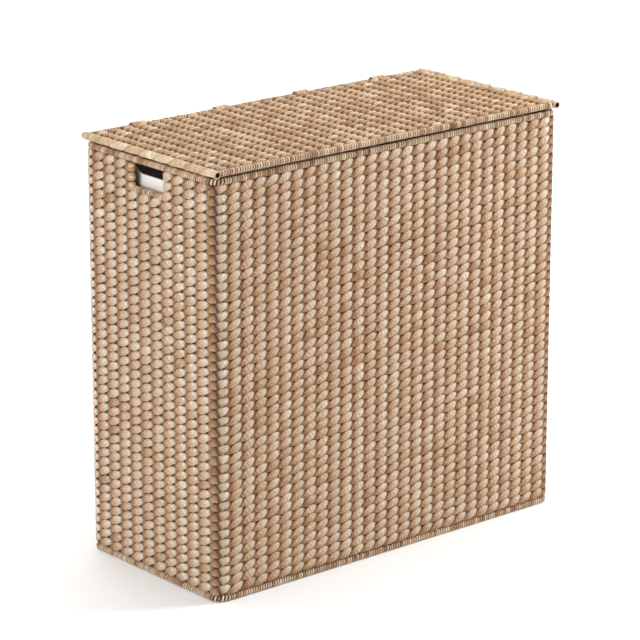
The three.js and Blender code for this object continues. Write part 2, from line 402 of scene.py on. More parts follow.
@dataclass
class Graph:
    """A node tree with short calls to add nodes and wire them."""

    tree: bpy.types.NodeTree

    def feed(self, node: bpy.types.Node, inputs: dict[str | int, object]) -> None:
        """Fills in a node's inputs: a socket is linked, and a plain value is set on its input.

        Args:
            node: The node to fill in.
            inputs: What goes into each input, by name or number.
        """
        for key, value in inputs.items():
            if isinstance(value, bpy.types.NodeSocket):
                self.tree.links.new(value, node.inputs[key])
            else:
                node.inputs[key].default_value = value

    def add(
        self, kind: str, inputs: dict[str | int, object] | None = None, **settings: object
    ) -> bpy.types.Node:
        """Adds a node.

        Args:
            kind: The node's Blender type.
            inputs: What goes into each input: an output socket, or a plain value.
            settings: The node's own properties.

        Returns:
            The new node.
        """
        node = self.tree.nodes.new(kind)
        for key, value in settings.items():
            setattr(node, key, value)
        self.feed(node, inputs or {})
        return node

    def math(self, operation: str, a: object, b: object = 0.0, clamp: bool = False) -> bpy.types.NodeSocket:
        """Adds a Math node of two inputs and gives its output."""
        return self.add("ShaderNodeMath", {0: a, 1: b}, operation=operation, use_clamp=clamp).outputs[0]

    def scaled(self, vector: object, by: Sequence[float]) -> bpy.types.NodeSocket:
        """Multiplies a vector by three numbers and gives the product."""
        node = self.add("ShaderNodeVectorMath", {0: vector, 1: tuple(by)}, operation="MULTIPLY")
        return node.outputs[0]

    def blend(self, how: str, amount: object, a: object, b: object) -> bpy.types.NodeSocket:
        """Mixes two colours by a blend mode and gives the result."""
        colours = {0: amount, 6: a, 7: b}
        return self.add("ShaderNodeMix", colours, data_type="RGBA", blend_type=how).outputs[2]

    def noise(
        self, vector: object, scale: object, detail: float, roughness: float = 0.5
    ) -> bpy.types.NodeSocket:
        """Adds a noise and gives its value, about 0.5 on average."""
        inputs = {"Vector": vector, "Scale": scale, "Detail": detail, "Roughness": roughness}
        return self.add("ShaderNodeTexNoise", inputs).outputs[0]

    def bump(self, height: object, strength: float, distance: float) -> bpy.types.NodeSocket:
        """Adds a bump of a height map, its full depth in metres, and gives the normal."""
        inputs = {"Strength": strength, "Distance": distance, "Height": height}
        return self.add("ShaderNodeBump", inputs).outputs[0]

    def ramp(self, value: object, stops: Sequence[tuple[float, Colour]]) -> bpy.types.NodeSocket:
        """Turns a value into a colour through a ramp.

        Args:
            value: What the ramp is read at.
            stops: Each stop's place from 0 to 1 and its colour.

        Returns:
            The colour.
        """
        node = self.add("ShaderNodeValToRGB", {0: value})
        elements = node.color_ramp.elements
        while len(elements) < len(stops):
            elements.new(0.5)
        for element, (place, colour) in zip(elements, stops):
            element.position, element.color = place, opaque(colour)
        return node.outputs[0]


def new_group(
    name: str, inputs: dict[str, object], outputs: dict[str, str]
) -> tuple[bpy.types.NodeTree, Graph, bpy.types.Node, bpy.types.Node]:
    """Starts a shader node group.

    Args:
        name: The group's name.
        inputs: Each input's name and its default: a number, three for a vector or four for a colour.
        outputs: Each output's name and its socket type.

    Returns:
        The group's tree, a Graph on it, its input node and its output node.
    """
    tree = bpy.data.node_groups.new(name, "ShaderNodeTree")
    for key, value in inputs.items():
        kind = SOCKET_KINDS[len(value) if isinstance(value, tuple) else 1]
        socket = tree.interface.new_socket(name=key, in_out="INPUT", socket_type=kind)
        socket.default_value = value
    for key, kind in outputs.items():
        tree.interface.new_socket(name=key, in_out="OUTPUT", socket_type=kind)
    return tree, Graph(tree), tree.nodes.new("NodeGroupInput"), tree.nodes.new("NodeGroupOutput")


class Effects:
    """The node groups that several finishes use, each built the first time that it is asked for."""

    made: dict[str, bpy.types.NodeTree] = {}

    @classmethod
    def fibre(cls) -> bpy.types.NodeTree:
        """Fine lines that run along a strand, and the creases between them.

        The strand's own run is stretched: noise that is long along it and narrow across it.

        Returns:
            The group. Outputs: Streak, a light and dark mask, Line, 1 in a crease between two
            stalks, Crease, a height, and Hue, 0 for a pink stalk to 1 for a green one.
        """
        if "fibre" not in cls.made:
            tree, g, given, put = new_group(
                "fibre",
                {"Run": (0.0, 0.0, 0.0), "Seed": 0.0, "Along": 30.0, "Across": 700.0},
                dict.fromkeys(("Streak", "Line", "Crease", "Hue"), "NodeSocketFloat"),
            )
            apart = g.add("ShaderNodeSeparateXYZ", {0: given.outputs["Run"]})
            place = g.add(
                "ShaderNodeCombineXYZ",
                {
                    0: g.math("MULTIPLY", apart.outputs[0], given.outputs["Along"]),
                    1: g.math("MULTIPLY", apart.outputs[1], given.outputs["Across"]),
                    2: g.math("MULTIPLY", given.outputs["Seed"], 91.7),
                },
            ).outputs[0]
            broad = g.noise(place, 0.45, 2.0)
            fine = g.noise(place, 1.3, 3.0, 0.6)
            kind = g.noise(place, 0.22, 1.0)
            streak = g.math("ADD", g.math("MULTIPLY", broad, 0.6), g.math("MULTIPLY", fine, 0.4))
            away = g.math("ABSOLUTE", g.math("SUBTRACT", broad, 0.5))
            line = g.math("SUBTRACT", 1.0, g.math("MULTIPLY", away, 16.0), clamp=True)
            height = g.math("SUBTRACT", g.math("MULTIPLY", fine, 0.8), g.math("MULTIPLY", line, 0.6))
            stretched = g.math("MULTIPLY", g.math("SUBTRACT", kind, 0.5), 3.5)
            hue = g.math("ADD", 0.5, stretched, clamp=True)
            g.feed(put, {"Streak": streak, "Line": line, "Crease": height, "Hue": hue})
            cls.made["fibre"] = tree
        return cls.made["fibre"]

    @classmethod
    def hollow_shade(cls) -> bpy.types.NodeTree:
        """Dust and shade that settle where a surface dips between its neighbours.

        Returns:
            The group. Output: Color, the colour given, mixed towards the painted shade in the dips.
        """
        if "hollow" not in cls.made:
            tree, g, given, put = new_group(
                "hollow_shade",
                {
                    "Color": (0.8, 0.8, 0.8, 1.0),
                    "Shade": (0.2, 0.1, 0.05, 1.0),
                    "Open": 1.0,
                    "Amount": 1.0,
                    "Spread": 2.0,
                },
                {"Color": "NodeSocketColor"},
            )
            closed = g.math("SUBTRACT", 1.0, given.outputs["Open"], clamp=True)
            deep = g.math("POWER", closed, given.outputs["Spread"])
            mask = g.math("MULTIPLY", deep, given.outputs["Amount"], clamp=True)
            shaded = g.blend("MIX", mask, given.outputs["Color"], given.outputs["Shade"])
            g.feed(put, {"Color": shaded})
            cls.made["hollow"] = tree
        return cls.made["hollow"]

    @classmethod
    def speckle(cls) -> bpy.types.NodeTree:
        """Small scattered spots, for flecks in fibre and scuffs in paint.

        Returns:
            The group. Output: Mask, 1 in a spot.
        """
        if "speckle" not in cls.made:
            tree, g, given, put = new_group(
                "speckle",
                {"Vector": (0.0, 0.0, 0.0), "Scale": 400.0, "Share": 0.3},
                {"Mask": "NodeSocketFloat"},
            )
            noise = g.noise(given.outputs["Vector"], given.outputs["Scale"], 4.0, 0.65)
            edge = g.math("SUBTRACT", 1.0, given.outputs["Share"])
            over = g.math("MULTIPLY", g.math("SUBTRACT", noise, edge), 12.0, clamp=True)
            g.feed(put, {"Mask": over})
            cls.made["speckle"] = tree
        return cls.made["speckle"]


def surface(name: str) -> tuple[bpy.types.Material, Graph, bpy.types.Node]:
    """Starts a material with one Principled surface.

    Args:
        name: The material's name.

    Returns:
        The material, a Graph on its tree and its Principled node.
    """
    material = bpy.data.materials.new(name)
    material.use_nodes = True
    graph = Graph(material.node_tree)
    shader = next(n for n in material.node_tree.nodes if n.type == "BSDF_PRINCIPLED")
    return material, graph, shader


@dataclass(frozen=True)
class PlantFinish:
    """Dried plant fibre: each stitch or turn has its own tone, with lines along it.

    The ramp holds the tones from the darkest stalks to the palest. The point value tint picks a
    stitch's tone, and open says how far a point stands out of the dips: the less it does, the more
    its colour is mixed towards a painted shade.
    """

    name: str
    tones: tuple[tuple[float, Colour], ...]
    shade: Colour
    along: float = 30.0
    across: float = 700.0
    streak: float = 0.35
    line: float = 0.38
    line_colour: Colour = linear(176, 116, 70)
    hue_amount: float = 0.8
    hues: tuple[tuple[float, Colour], ...] = (
        (0.0, (1.0, 0.92, 0.93)),
        (0.5, (1.0, 0.985, 0.96)),
        (1.0, (0.96, 1.0, 0.9)),
    )
    fleck_scale: float = 700.0
    fleck_share: float = 0.3
    fleck_amount: float = 0.35
    fleck_colour: Colour = linear(190, 140, 95)
    # Painted shade: the colour that the corners and the rolls' end holes are darkened towards.
    soil_colour: Colour = linear(96, 58, 34)
    shade_amount: float = 1.0
    shade_spread: float = 1.0
    crease_height: float = 0.0006
    crease_strength: float = 0.8
    roughness: tuple[float, float] = (0.5, 0.78)
    sheen: float = 0.08
    gloss: float = 0.35

    def material(self) -> bpy.types.Material:
        """Builds the finish.

        Returns:
            A material that reads the UV map run, the point values tint and open, and a third point value
            that paints extra shade along the corners and in the rolls' end holes.
        """
        material, g, shader = surface(self.name)
        tint = g.add("ShaderNodeAttribute", attribute_name="tint").outputs["Fac"]
        open_air = g.add("ShaderNodeAttribute", attribute_name="open").outputs["Fac"]
        soil = g.add("ShaderNodeAttribute", attribute_name="soil").outputs["Fac"]
        run = g.add("ShaderNodeUVMap", uv_map="run").outputs[0]
        place = g.add("ShaderNodeTexCoord").outputs["Object"]
        fibre = g.add(
            "ShaderNodeGroup",
            {"Run": run, "Seed": tint, "Along": self.along, "Across": self.across},
            node_tree=Effects.fibre(),
        )
        flecks = g.add(
            "ShaderNodeGroup",
            {"Vector": place, "Scale": self.fleck_scale, "Share": self.fleck_share},
            node_tree=Effects.speckle(),
        )
        streak = g.math("MULTIPLY", g.math("SUBTRACT", fibre.outputs["Streak"], 0.5), self.streak * 4.0)
        colour = g.ramp(g.math("ADD", tint, streak, clamp=True), self.tones)
        lined = g.math("MULTIPLY", fibre.outputs["Line"], self.line)
        colour = g.blend("MULTIPLY", lined, colour, opaque(self.line_colour))
        colour = g.blend("MULTIPLY", self.hue_amount, colour, g.ramp(fibre.outputs["Hue"], self.hues))
        flecked = g.math("MULTIPLY", flecks.outputs["Mask"], self.fleck_amount)
        colour = g.blend("MULTIPLY", flecked, colour, opaque(self.fleck_colour))
        hollow = g.add(
            "ShaderNodeGroup",
            {
                "Color": colour,
                "Shade": opaque(self.shade),
                "Open": open_air,
                "Amount": self.shade_amount,
                "Spread": self.shade_spread,
            },
            node_tree=Effects.hollow_shade(),
        )
        low, high = self.roughness
        surface_inputs = {
            # Painted shade: the third point value darkens the corners and the rolls' end holes further.
            "Base Color": g.blend("MULTIPLY", soil, hollow.outputs["Color"], opaque(self.soil_colour)),
            "Roughness": g.math("ADD", low, g.math("MULTIPLY", fibre.outputs["Streak"], high - low)),
            "Normal": g.bump(fibre.outputs["Crease"], self.crease_strength, self.crease_height),
            "Specular IOR Level": self.gloss,
            "Sheen Weight": self.sheen,
        }
        g.feed(shader, surface_inputs)
        return material


@dataclass(frozen=True)
class ClothFinish:
    """Plain-woven cotton: two crossed sets of threads, soft mottling and a little fluff."""

    name: str
    colour: Colour
    shade: Colour
    thread_shade: Colour = linear(214, 206, 196)
    thread: float = 0.0011
    bump: float = 0.0002
    slub_stretch: tuple[float, float, float] = (60.0, 900.0, 1.0)
    sheen: float = 0.25
    gloss: float = 0.2

    def material(self) -> bpy.types.Material:
        """Builds the finish.

        Returns:
            A material whose threads follow the UV map run, in metres.
        """
        material, g, shader = surface(self.name)
        run = g.add("ShaderNodeUVMap", uv_map="run").outputs[0]
        apart = g.add("ShaderNodeSeparateXYZ", {0: g.scaled(run, (2 * math.pi / self.thread,) * 3)})
        warp = g.math("SINE", apart.outputs[0])
        weft = g.math("SINE", apart.outputs[1])
        weave = g.math("MULTIPLY", g.math("MULTIPLY", warp, weft), 0.5)
        mottle = g.noise(run, 45.0, 5.0, 0.6)
        slub = g.noise(g.scaled(run, self.slub_stretch), 1.0, 2.0)
        mask = g.math("ADD", g.math("MULTIPLY", mottle, 0.7), g.math("MULTIPLY", slub, 0.3), clamp=True)
        mottled = g.math("MULTIPLY", mask, 0.75)
        colour = g.blend("MIX", mottled, opaque(self.colour), opaque(self.shade))
        between = g.math("ADD", g.math("MULTIPLY", weave, 0.25), 0.12, clamp=True)
        height = g.math("ADD", weave, g.math("MULTIPLY", slub, 0.8))
        surface_inputs = {
            "Base Color": g.blend("MULTIPLY", between, colour, opaque(self.thread_shade)),
            "Roughness": g.math("ADD", 0.82, g.math("MULTIPLY", mottle, 0.15)),
            "Normal": g.bump(height, 0.6, self.bump),
            "Specular IOR Level": self.gloss,
            "Sheen Weight": self.sheen,
        }
        g.feed(shader, surface_inputs)
        return material


@dataclass(frozen=True)
class PaintedWireFinish:
    """Dark enamel on steel wire, with worn flecks where it rubs."""

    name: str
    paint: Colour
    worn: Colour
    worn_scale: float = 240.0
    worn_share: float = 0.4
    paler: float = 1.9

    def material(self) -> bpy.types.Material:
        """Builds the finish.

        Returns:
            A material on Object coordinates.
        """
        material, g, shader = surface(self.name)
        place = g.add("ShaderNodeTexCoord").outputs["Object"]
        broad = g.noise(place, 60.0, 4.0)
        peel = g.noise(place, 900.0, 2.0)
        worn = g.add(
            "ShaderNodeGroup",
            {"Vector": place, "Scale": self.worn_scale, "Share": self.worn_share},
            node_tree=Effects.speckle(),
        ).outputs["Mask"]
        pale = opaque(tuple(c * self.paler for c in self.paint))
        paint = g.blend("MIX", broad, opaque(self.paint), pale)
        surface_inputs = {
            "Base Color": g.blend("MIX", g.math("MULTIPLY", worn, 0.6), paint, opaque(self.worn)),
            "Roughness": g.math("ADD", 0.32, g.math("MULTIPLY", broad, 0.3)),
            "Metallic": g.math("MULTIPLY", worn, 0.7),
            "Normal": g.bump(peel, 0.35, 0.0002),
        }
        g.feed(shader, surface_inputs)
        return material


@dataclass(frozen=True)
class Finishes:
    """Every finish on the hamper."""

    straw: PlantFinish = PlantFinish(
        "straw",
        (
            (0.0, linear(132, 82, 44)),
            (0.25, linear(176, 134, 94)),
            (0.5, linear(202, 179, 152)),
            (0.72, linear(224, 210, 195)),
            (1.0, linear(250, 247, 244)),
        ),
        shade=linear(48, 22, 8),
        streak=0.36,
    )
    lid_straw: PlantFinish = PlantFinish(
        "lid_straw",
        (
            (0.0, linear(126, 80, 42)),
            (0.25, linear(162, 122, 78)),
            (0.5, linear(194, 164, 126)),
            (0.75, linear(222, 204, 174)),
            (1.0, linear(250, 246, 238)),
        ),
        shade=linear(56, 27, 10),
        streak=0.5,
    )
    cord: PlantFinish = PlantFinish(
        "wound_cord",
        (
            (0.0, linear(120, 74, 46)),
            (0.3, linear(168, 126, 92)),
            (0.6, linear(212, 182, 148)),
            (1.0, linear(244, 230, 208)),
        ),
        shade=linear(36, 12, 4),
        along=60.0,
        across=1500.0,
        streak=0.3,
        crease_height=0.0003,
        shade_spread=0.9,
    )
    rush: PlantFinish = PlantFinish(
        "wide_rush",
        (
            (0.0, linear(152, 114, 78)),
            (0.35, linear(194, 166, 132)),
            (0.7, linear(216, 196, 168)),
            (1.0, linear(240, 230, 212)),
        ),
        shade=linear(64, 34, 14),
        along=45.0,
        across=650.0,
        streak=0.4,
        crease_height=0.0008,
    )
    rope: PlantFinish = PlantFinish(
        "twisted_rope",
        (
            (0.0, linear(156, 120, 84)),
            (0.5, linear(208, 178, 140)),
            (1.0, linear(240, 220, 190)),
        ),
        shade=linear(50, 26, 12),
        along=500.0,
        across=1800.0,
        streak=0.35,
        crease_height=0.0004,
    )
    cotton: ClothFinish = ClothFinish("cotton", linear(250, 247, 243), linear(240, 235, 229))
    tape: ClothFinish = ClothFinish(
        "cotton_tape", linear(236, 230, 220), linear(214, 205, 192), thread=0.0016, bump=0.0003
    )
    wire: PaintedWireFinish = PaintedWireFinish("brown_enamel", linear(52, 33, 22), linear(128, 104, 84))


def dress(
    piece: bpy.types.Object,
    material: bpy.types.Material,
    body: Body,
    stands_for: Sequence[str] = (),
) -> bpy.types.Object:
    """Gives a piece its material and its body, and hides the CAD nodes that it stands for.

    Args:
        piece: The new object, in place.
        material: What covers it.
        body: The CAD body that it rides on.
        stands_for: CAD nodes that it replaces.

    Returns:
        The same object.
    """
    piece.data.materials.clear()
    piece.data.materials.append(material)
    if stands_for:
        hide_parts(*stands_for)
    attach(piece, body.value)
    triangles = sum(len(p.vertices) - 2 for p in piece.data.polygons)
    log.info("%s: %d triangles, on %s", piece.name, triangles, body.value)
    return piece


# ---------------------------------------------------------------------------------------------
# Twined weaving
# ---------------------------------------------------------------------------------------------


@dataclass
class Twining:
    """Two strands twisted round each other, with an upright stake held in every half turn.

    A strand's centre stands off the wall's middle by swing * cos(turn - lag) and moves up and down
    its row by rise * sin(turn). The turn grows by half a circle from stake to stake. The strand is
    wide and flat where it bends over a stake and narrow and round where the two cross: its half
    width is pinch + (width - pinch) * cos squared (turn - lean), and its half depth goes the other
    way.
    """

    swing: float = 0.0028
    rise: float = 0.004
    half_width: float = 0.0069
    half_pinch: float = 0.0041
    half_depth: float = 0.0023
    round_depth: float = 0.0028
    squareness: float = 0.6
    lag: float = 0.3
    lean: float = 0.28
    start: float = 0.4
    samples: tuple[float, ...] = (0.0, 0.14, 0.28, 0.42, 0.56, 0.7, 0.85)
    sides: int = 8
    width_chance: float = 0.05
    rise_chance: float = 0.1
    tone_middle: float = 0.47
    tone_chance: float = 0.042
    dull_share: float = 0.04
    dull_step: float = 0.12
    # Lighter towards each stitch's head: partly bleached fibre, partly a painted highlight on the head and
    # painted shade on the tail.
    bleach: float = 0.62
    wander: float = 0.0003
    most_chance: float = 2.2

    def stations(self, first: int, last: int) -> Array:
        """Where the samples stand, in stakes: they crowd towards each stitch's blunt end."""
        whole = np.arange(first, last)[:, None] - self.start
        return (whole + np.array(self.samples)[None]).reshape(-1)

    def stand_off(self, turn: Array) -> Array:
        """How far a strand's centre stands off the wall's middle at each turn."""
        return self.swing * np.cos(turn - self.lag)

    def open_air(self, off: Array) -> Array:
        """How much light reaches a point: all of it well off the wall's middle, little near it.

        Args:
            off: Distance off the wall's middle.

        Returns:
            1 in the open, less in the dips.
        """
        return ease(off, 0.05 * self.swing, 0.95 * self.swing)

    def along(self, stake: Array) -> Array:
        """How far along its own stitch each sample is, from 0 to 1."""
        return np.mod(stake + self.start + NUDGE, 1.0)

    def per_stitch(self, count: int, stitches: int, rng: np.random.Generator) -> Array:
        """Random numbers, one to a stitch, for each strand.

        Args:
            count: Number of strands.
            stitches: Stakes in a strand's length.
            rng: The source of chance.

        Returns:
            Numbers (count, stitches + 1), in each line the last equal to the first.
        """
        numbers = rng.normal(0.0, 1.0, (count, stitches + 1))
        numbers[:, -1] = numbers[:, 0]
        return np.clip(numbers, -self.most_chance, self.most_chance)

    def spread(self, numbers: Array, stake: Array) -> Array:
        """Carries numbers given at whole stakes smoothly along a strand.

        Args:
            numbers: One number to a stake (count, stitches + 1).
            stake: How many stakes along each sample is (steps,).

        Returns:
            Numbers (count, steps).
        """
        low = np.floor(stake).astype(int) % (numbers.shape[1] - 1)
        t = ease(stake - np.floor(stake), 0.0, 1.0)
        return numbers[:, low] * (1.0 - t) + numbers[:, low + 1] * t

    def sections(self, turn: Array, wider: Array) -> tuple[Array, Array]:
        """Half widths and half depths along a strand.

        Args:
            turn: The strand's turn, in radians.
            wider: The stitch's own share of extra width.

        Returns:
            Half widths and half depths.
        """
        flat = np.cos(turn - self.lean) ** 2
        wide = self.half_pinch + (self.half_width * (1.0 + wider) - self.half_pinch) * flat
        return wide, self.round_depth + (self.half_depth - self.round_depth) * flat

    def tones(self, stake: Array, count: int, stitches: int, rng: np.random.Generator) -> Array:
        """A tone to each stitch: a slow change along the strand plus chance from stitch to stitch.

        A few stitches are duller than the rest, and each one is lighter at its head than at its tail:
        partly bleached fibre, partly a painted highlight on the head and painted shade on the tail.

        Args:
            stake: How many stakes along each sample is (steps,).
            count: Number of strands.
            stitches: Stakes in a strand's length.
            rng: The source of chance.

        Returns:
            Tones (count, steps), mostly from 0 to 1.
        """
        slow = drift(stitches, count, max(3, stitches // 6), rng)
        quick = rng.normal(0.0, 1.0, (count, stitches))
        tone = self.tone_middle + self.tone_chance * (0.75 * slow + 0.8 * quick)
        tone = np.where(rng.random((count, stitches)) < self.dull_share, tone - self.dull_step, tone)
        own = np.floor(stake + self.start + NUDGE).astype(int) % stitches
        return np.clip(tone[:, own] + self.bleach * (self.along(stake) - 0.55), 0.02, 0.98)

    def wandering(self, steps: int, rows: int, waves: int, rng: np.random.Generator) -> Array:
        """How far each row strays from straight, the same for both of its strands (2 rows, steps)."""
        return np.repeat(drift(steps, rows, waves, rng) * self.wander, 2, axis=0)

    def strands(
        self,
        stake: Array,
        ground: Array,
        normal: Array,
        upright: int,
        stitches: int,
        rng: np.random.Generator,
    ) -> tuple[Array, Array, Array, Array]:
        """Lays two strands to a row, half a turn apart.

        Args:
            stake: How many stakes along each sample is (steps,).
            ground: The wall's middle under each step (strands, steps, 3).
            normal: The way out of the wall there, of the same shape.
            upright: The axis that the stakes run along, 0 to 2.
            stitches: Stakes in a strand's length.
            rng: The source of chance.

        Returns:
            Centres, half widths, half depths and tones, each a line to a strand.
        """
        count = len(ground)
        turn = np.pi * (stake[None, :] + (np.arange(count) % 2)[:, None])
        higher = self.rise_chance * self.spread(self.per_stitch(count, stitches, rng), stake)
        wider = self.width_chance * self.spread(self.per_stitch(count, stitches, rng), stake)
        centres = ground + normal * self.stand_off(turn)[..., None]
        centres[..., upright] += self.rise * (1.0 + higher) * np.sin(turn)
        wide, deep = self.sections(turn, wider)
        return centres, wide, deep, self.tones(stake, count, stitches, rng)

    def lit(self, skin: Skin, ground: Array, normal: Array) -> Skin:
        """Fills in the point value open from how far each point stands off the wall's middle.

        Args:
            skin: A skin whose points are in the order (lines, steps, sides).
            ground: The wall's middle under each step (lines, steps, 3).
            normal: The way out of the wall there, of the same shape.

        Returns:
            The same skin.
        """
        points = skin.points.reshape(*ground.shape[:2], self.sides, 3)
        off = np.abs(np.einsum("lksc,lkc->lks", points - ground[:, :, None], normal))
        skin.values["open"] = self.open_air(off).reshape(-1)
        return skin


@dataclass
class WovenBody:
    """The hamper's twined walls: closed rows all the way round, and short rows beside the hand holes.

    The stakes' places are given as a table of distance along the wall's middle against the number
    of stakes passed, so that a stake stands in each corner, in the middle of each long side and at
    each side of a hand hole.
    """

    finish: PlantFinish
    rows: int = 43
    short_rows: int = 3
    bend: float = 0.0165
    jamb: float = 0.0392
    long_stakes: int = 27
    end_stakes: int = 10
    jamb_stakes: float = 3.5
    bands: int = 5
    stake_radius: float = 0.0013
    half_thick: float = 0.0055
    turn_steps: int = 8
    turn_gap: float = 0.06
    post_room: float = 0.004
    face_depth: float = 0.01
    stake_over: float = 0.002
    # Where the painted shade along a corner starts to fade and where it is gone, by distance from the
    # corner's middle.
    browned: tuple[float, float] = (0.0008, 0.0046)
    twining: Twining = field(default_factory=Twining)

    def __post_init__(self) -> None:
        """Reads the walls' box and lays out the stakes."""
        low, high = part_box("front_wall")
        side_low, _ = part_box("left_wall")
        self.bottom, self.top = low.z, high.z
        self.ring = RoundedRing(-side_low.x - self.half_thick, -low.y - self.half_thick, self.bend)
        self.pitch = (self.top - self.bottom) / self.rows
        arc, straight_x = self.bend * np.pi / 2, 2 * (self.ring.half_x - self.bend)
        half_end, end = self.ring.half_y - self.bend, self.end_stakes
        lengths = [straight_x, arc, half_end - self.jamb, 2 * self.jamb, half_end - self.jamb, arc] * 2
        counts = [self.long_stakes, 1, self.jamb_stakes, end - 2 * self.jamb_stakes, self.jamb_stakes, 1] * 2
        self.knot_travel = np.concatenate([[0.0], np.cumsum(lengths)])
        self.knot_stake = np.concatenate([[0.5], 0.5 + np.cumsum(counts)])
        self.stakes = int(round(sum(counts)))
        self.rng = np.random.default_rng(20)

    def travel(self, stake: Array) -> Array:
        """Distance along the ring at a number of stakes passed, by straight lines between the knots."""
        wrapped = np.mod(stake - 0.5, self.stakes) + 0.5
        return np.interp(wrapped, self.knot_stake, self.knot_travel)

    def corner_shading(self, stake: Array) -> Array:
        """How much painted shade darkens the weave along a corner, where it bends hard round a corner post.

        Args:
            stake: Numbers of stakes passed.

        Returns:
            1 at the middle of a corner, 0 away from it.
        """
        middles = self.ring.starts[1::2] + self.bend * np.pi / 4
        away = np.min(np.abs(self.travel(stake)[..., None] - middles), axis=-1)
        return 1.0 - ease(away, *self.browned)

    def full_rows(self, heights: Array) -> Skin:
        """Closed rows: each is two strands that go all the way round, half a turn apart.

        Args:
            heights: The rows' middle heights.

        Returns:
            Their skin.
        """
        t, rng = self.twining, self.rng
        stake = t.stations(1, self.stakes + 1)
        shape = (2 * len(heights), len(stake), 3)
        ground, normal = (np.broadcast_to(part, shape).copy() for part in self.ring.at(self.travel(stake)))
        wander = t.wandering(len(stake), len(heights), 9, rng)
        ground[..., 2] = np.repeat(heights, 2)[:, None] + wander
        centres, wide, deep, tones = t.strands(stake, ground, normal, 2, self.stakes, rng)
        values = {"tint": tones[..., None], "soil": self.corner_shading(stake)[None, :, None]}
        skin = sweep(centres, normal, wide, deep, t.sides, True, t.squareness, values)
        return t.lit(skin, ground, normal)

    def short_row_pair(self, heights: Array, first: float, last: float) -> Skin:
        """Rows that stop at two hand-hole jambs, where the strand turns back round the last stake.

        Each row is one closed strand: along the wall, half a turn round the last stake, back along
        the wall and half a turn round the first. A turn's point is middle + half * cos(a) + ahead *
        reach * sin(a), with the angle a from 0 to pi.

        Args:
            heights: The rows' middle heights.
            first: The stake where the rows start.
            last: The stake where they end.

        Returns:
            Their skin.
        """
        t, rng, count = self.twining, self.rng, len(heights)
        inner = t.stations(int(first), int(last) + 1)
        inner = inner[(inner > first + self.turn_gap) & (inner < last - self.turn_gap)]
        out_stake = np.concatenate([[first], inner, [last]])
        share = np.linspace(0.0, 1.0, self.turn_steps + 2)[1:-1]
        legs, wide_parts, deep_parts, stakes, grounds, normals, looks = ([] for _ in range(7))
        jitter = t.per_stitch(count, self.stakes, rng)
        for stake, phase, sign in ((out_stake, 0.0, 1.0), (out_stake[::-1], np.pi, -1.0)):
            ground, normal = self.ring.at(self.travel(stake))
            ground = np.repeat(ground[None], count, axis=0)
            ground[..., 2] = heights[:, None]
            normal = np.repeat(normal[None], count, axis=0)
            turn = np.repeat((np.pi * (stake - first) + phase)[None], count, axis=0)
            wide, deep = t.sections(turn, t.width_chance * t.spread(jitter, stake))
            centres = ground + normal * t.stand_off(turn)[..., None]
            centres[..., 2] += t.rise * np.sin(turn)
            legs.append(centres)
            wide_parts.append(wide)
            deep_parts.append(deep)
            stakes.append(stake)
            grounds.append(ground)
            normals.append(normal)
            looks.append(normal * sign)
        c, s = np.cos(np.pi * share)[None, :, None], np.sin(np.pi * share)[None, :, None]
        for here, there in ((0, 1), (1, 0)):
            start, end = legs[here][:, -1:], legs[there][:, :1]
            middle, half = (start + end) / 2, (start - end) / 2
            side = np.cross([0.0, 0.0, 1.0], normals[here][:, -1:]) * (1.0 if here == 0 else -1.0)
            reach = np.linalg.norm(half, axis=-1, keepdims=True)
            legs.append(middle + half * c + side * reach * s)
            looks.append(half / np.maximum(reach, 1e-9) * c + side * s)
            wide_parts.append(wide_parts[here][:, -1:] * (1 - share) + wide_parts[there][:, :1] * share)
            deep_parts.append(deep_parts[here][:, -1:] * (1 - share) + deep_parts[there][:, :1] * share)
            stakes.append(np.full(self.turn_steps, stakes[here][-1]))
            grounds.append(np.repeat(grounds[here][:, -1:], self.turn_steps, axis=1))
            normals.append(looks[-1])
        in_turn = (0, 2, 1, 3)
        centres, look, wide, deep, ground, normal = (
            np.concatenate([part[i] for i in in_turn], axis=1)
            for part in (legs, looks, wide_parts, deep_parts, grounds, normals)
        )
        stake = np.concatenate([stakes[i] for i in in_turn])
        values = {
            "tint": t.tones(stake, count, self.stakes, rng)[..., None],
            "soil": self.corner_shading(stake)[None, :, None],
        }
        skin = sweep(centres, look, wide, deep, t.sides, True, t.squareness, values)
        return t.lit(skin, ground, normal)

    def uprights(self) -> Skin:
        """Thin straight stakes inside the twists.

        They are left out where a post stands in a corner or in the middle of a long side, and stop
        short under a hand hole.

        Returns:
            Their skin.
        """
        stake = np.arange(1, self.stakes + 1)
        place, outward = self.ring.at(self.travel(stake))
        x, y = np.abs(place[:, 0]), np.abs(place[:, 1])
        corner = self.corner_shading(stake) > 0.5
        middle = (x < self.post_room) & (y > self.ring.half_y - self.face_depth)
        hole = (y < self.jamb - self.post_room) & (x > self.ring.half_x - self.face_depth)
        sill = self.top - self.short_rows * self.pitch
        height = np.where(hole, sill - self.stake_over, self.top + self.stake_over)
        keep = ~(corner | middle)
        place, outward, height = place[keep], outward[keep], height[keep]
        foot = np.full(len(place), self.bottom - self.stake_over)
        centres = np.repeat(place[:, None], 4, axis=1)
        centres[..., 2] = np.linspace(foot, height, 4, axis=1)
        # Painted shade: the stakes are darkened all over, as they stand inside the twists.
        values = {"tint": self.rng.uniform(0.3, 0.6, (len(place), 1, 1)), "open": 0.45, "soil": 0.0}
        look = np.repeat(outward[:, None], 4, axis=1)
        return sweep(centres, look, self.stake_radius, self.stake_radius, 6, False, 1.0, values)

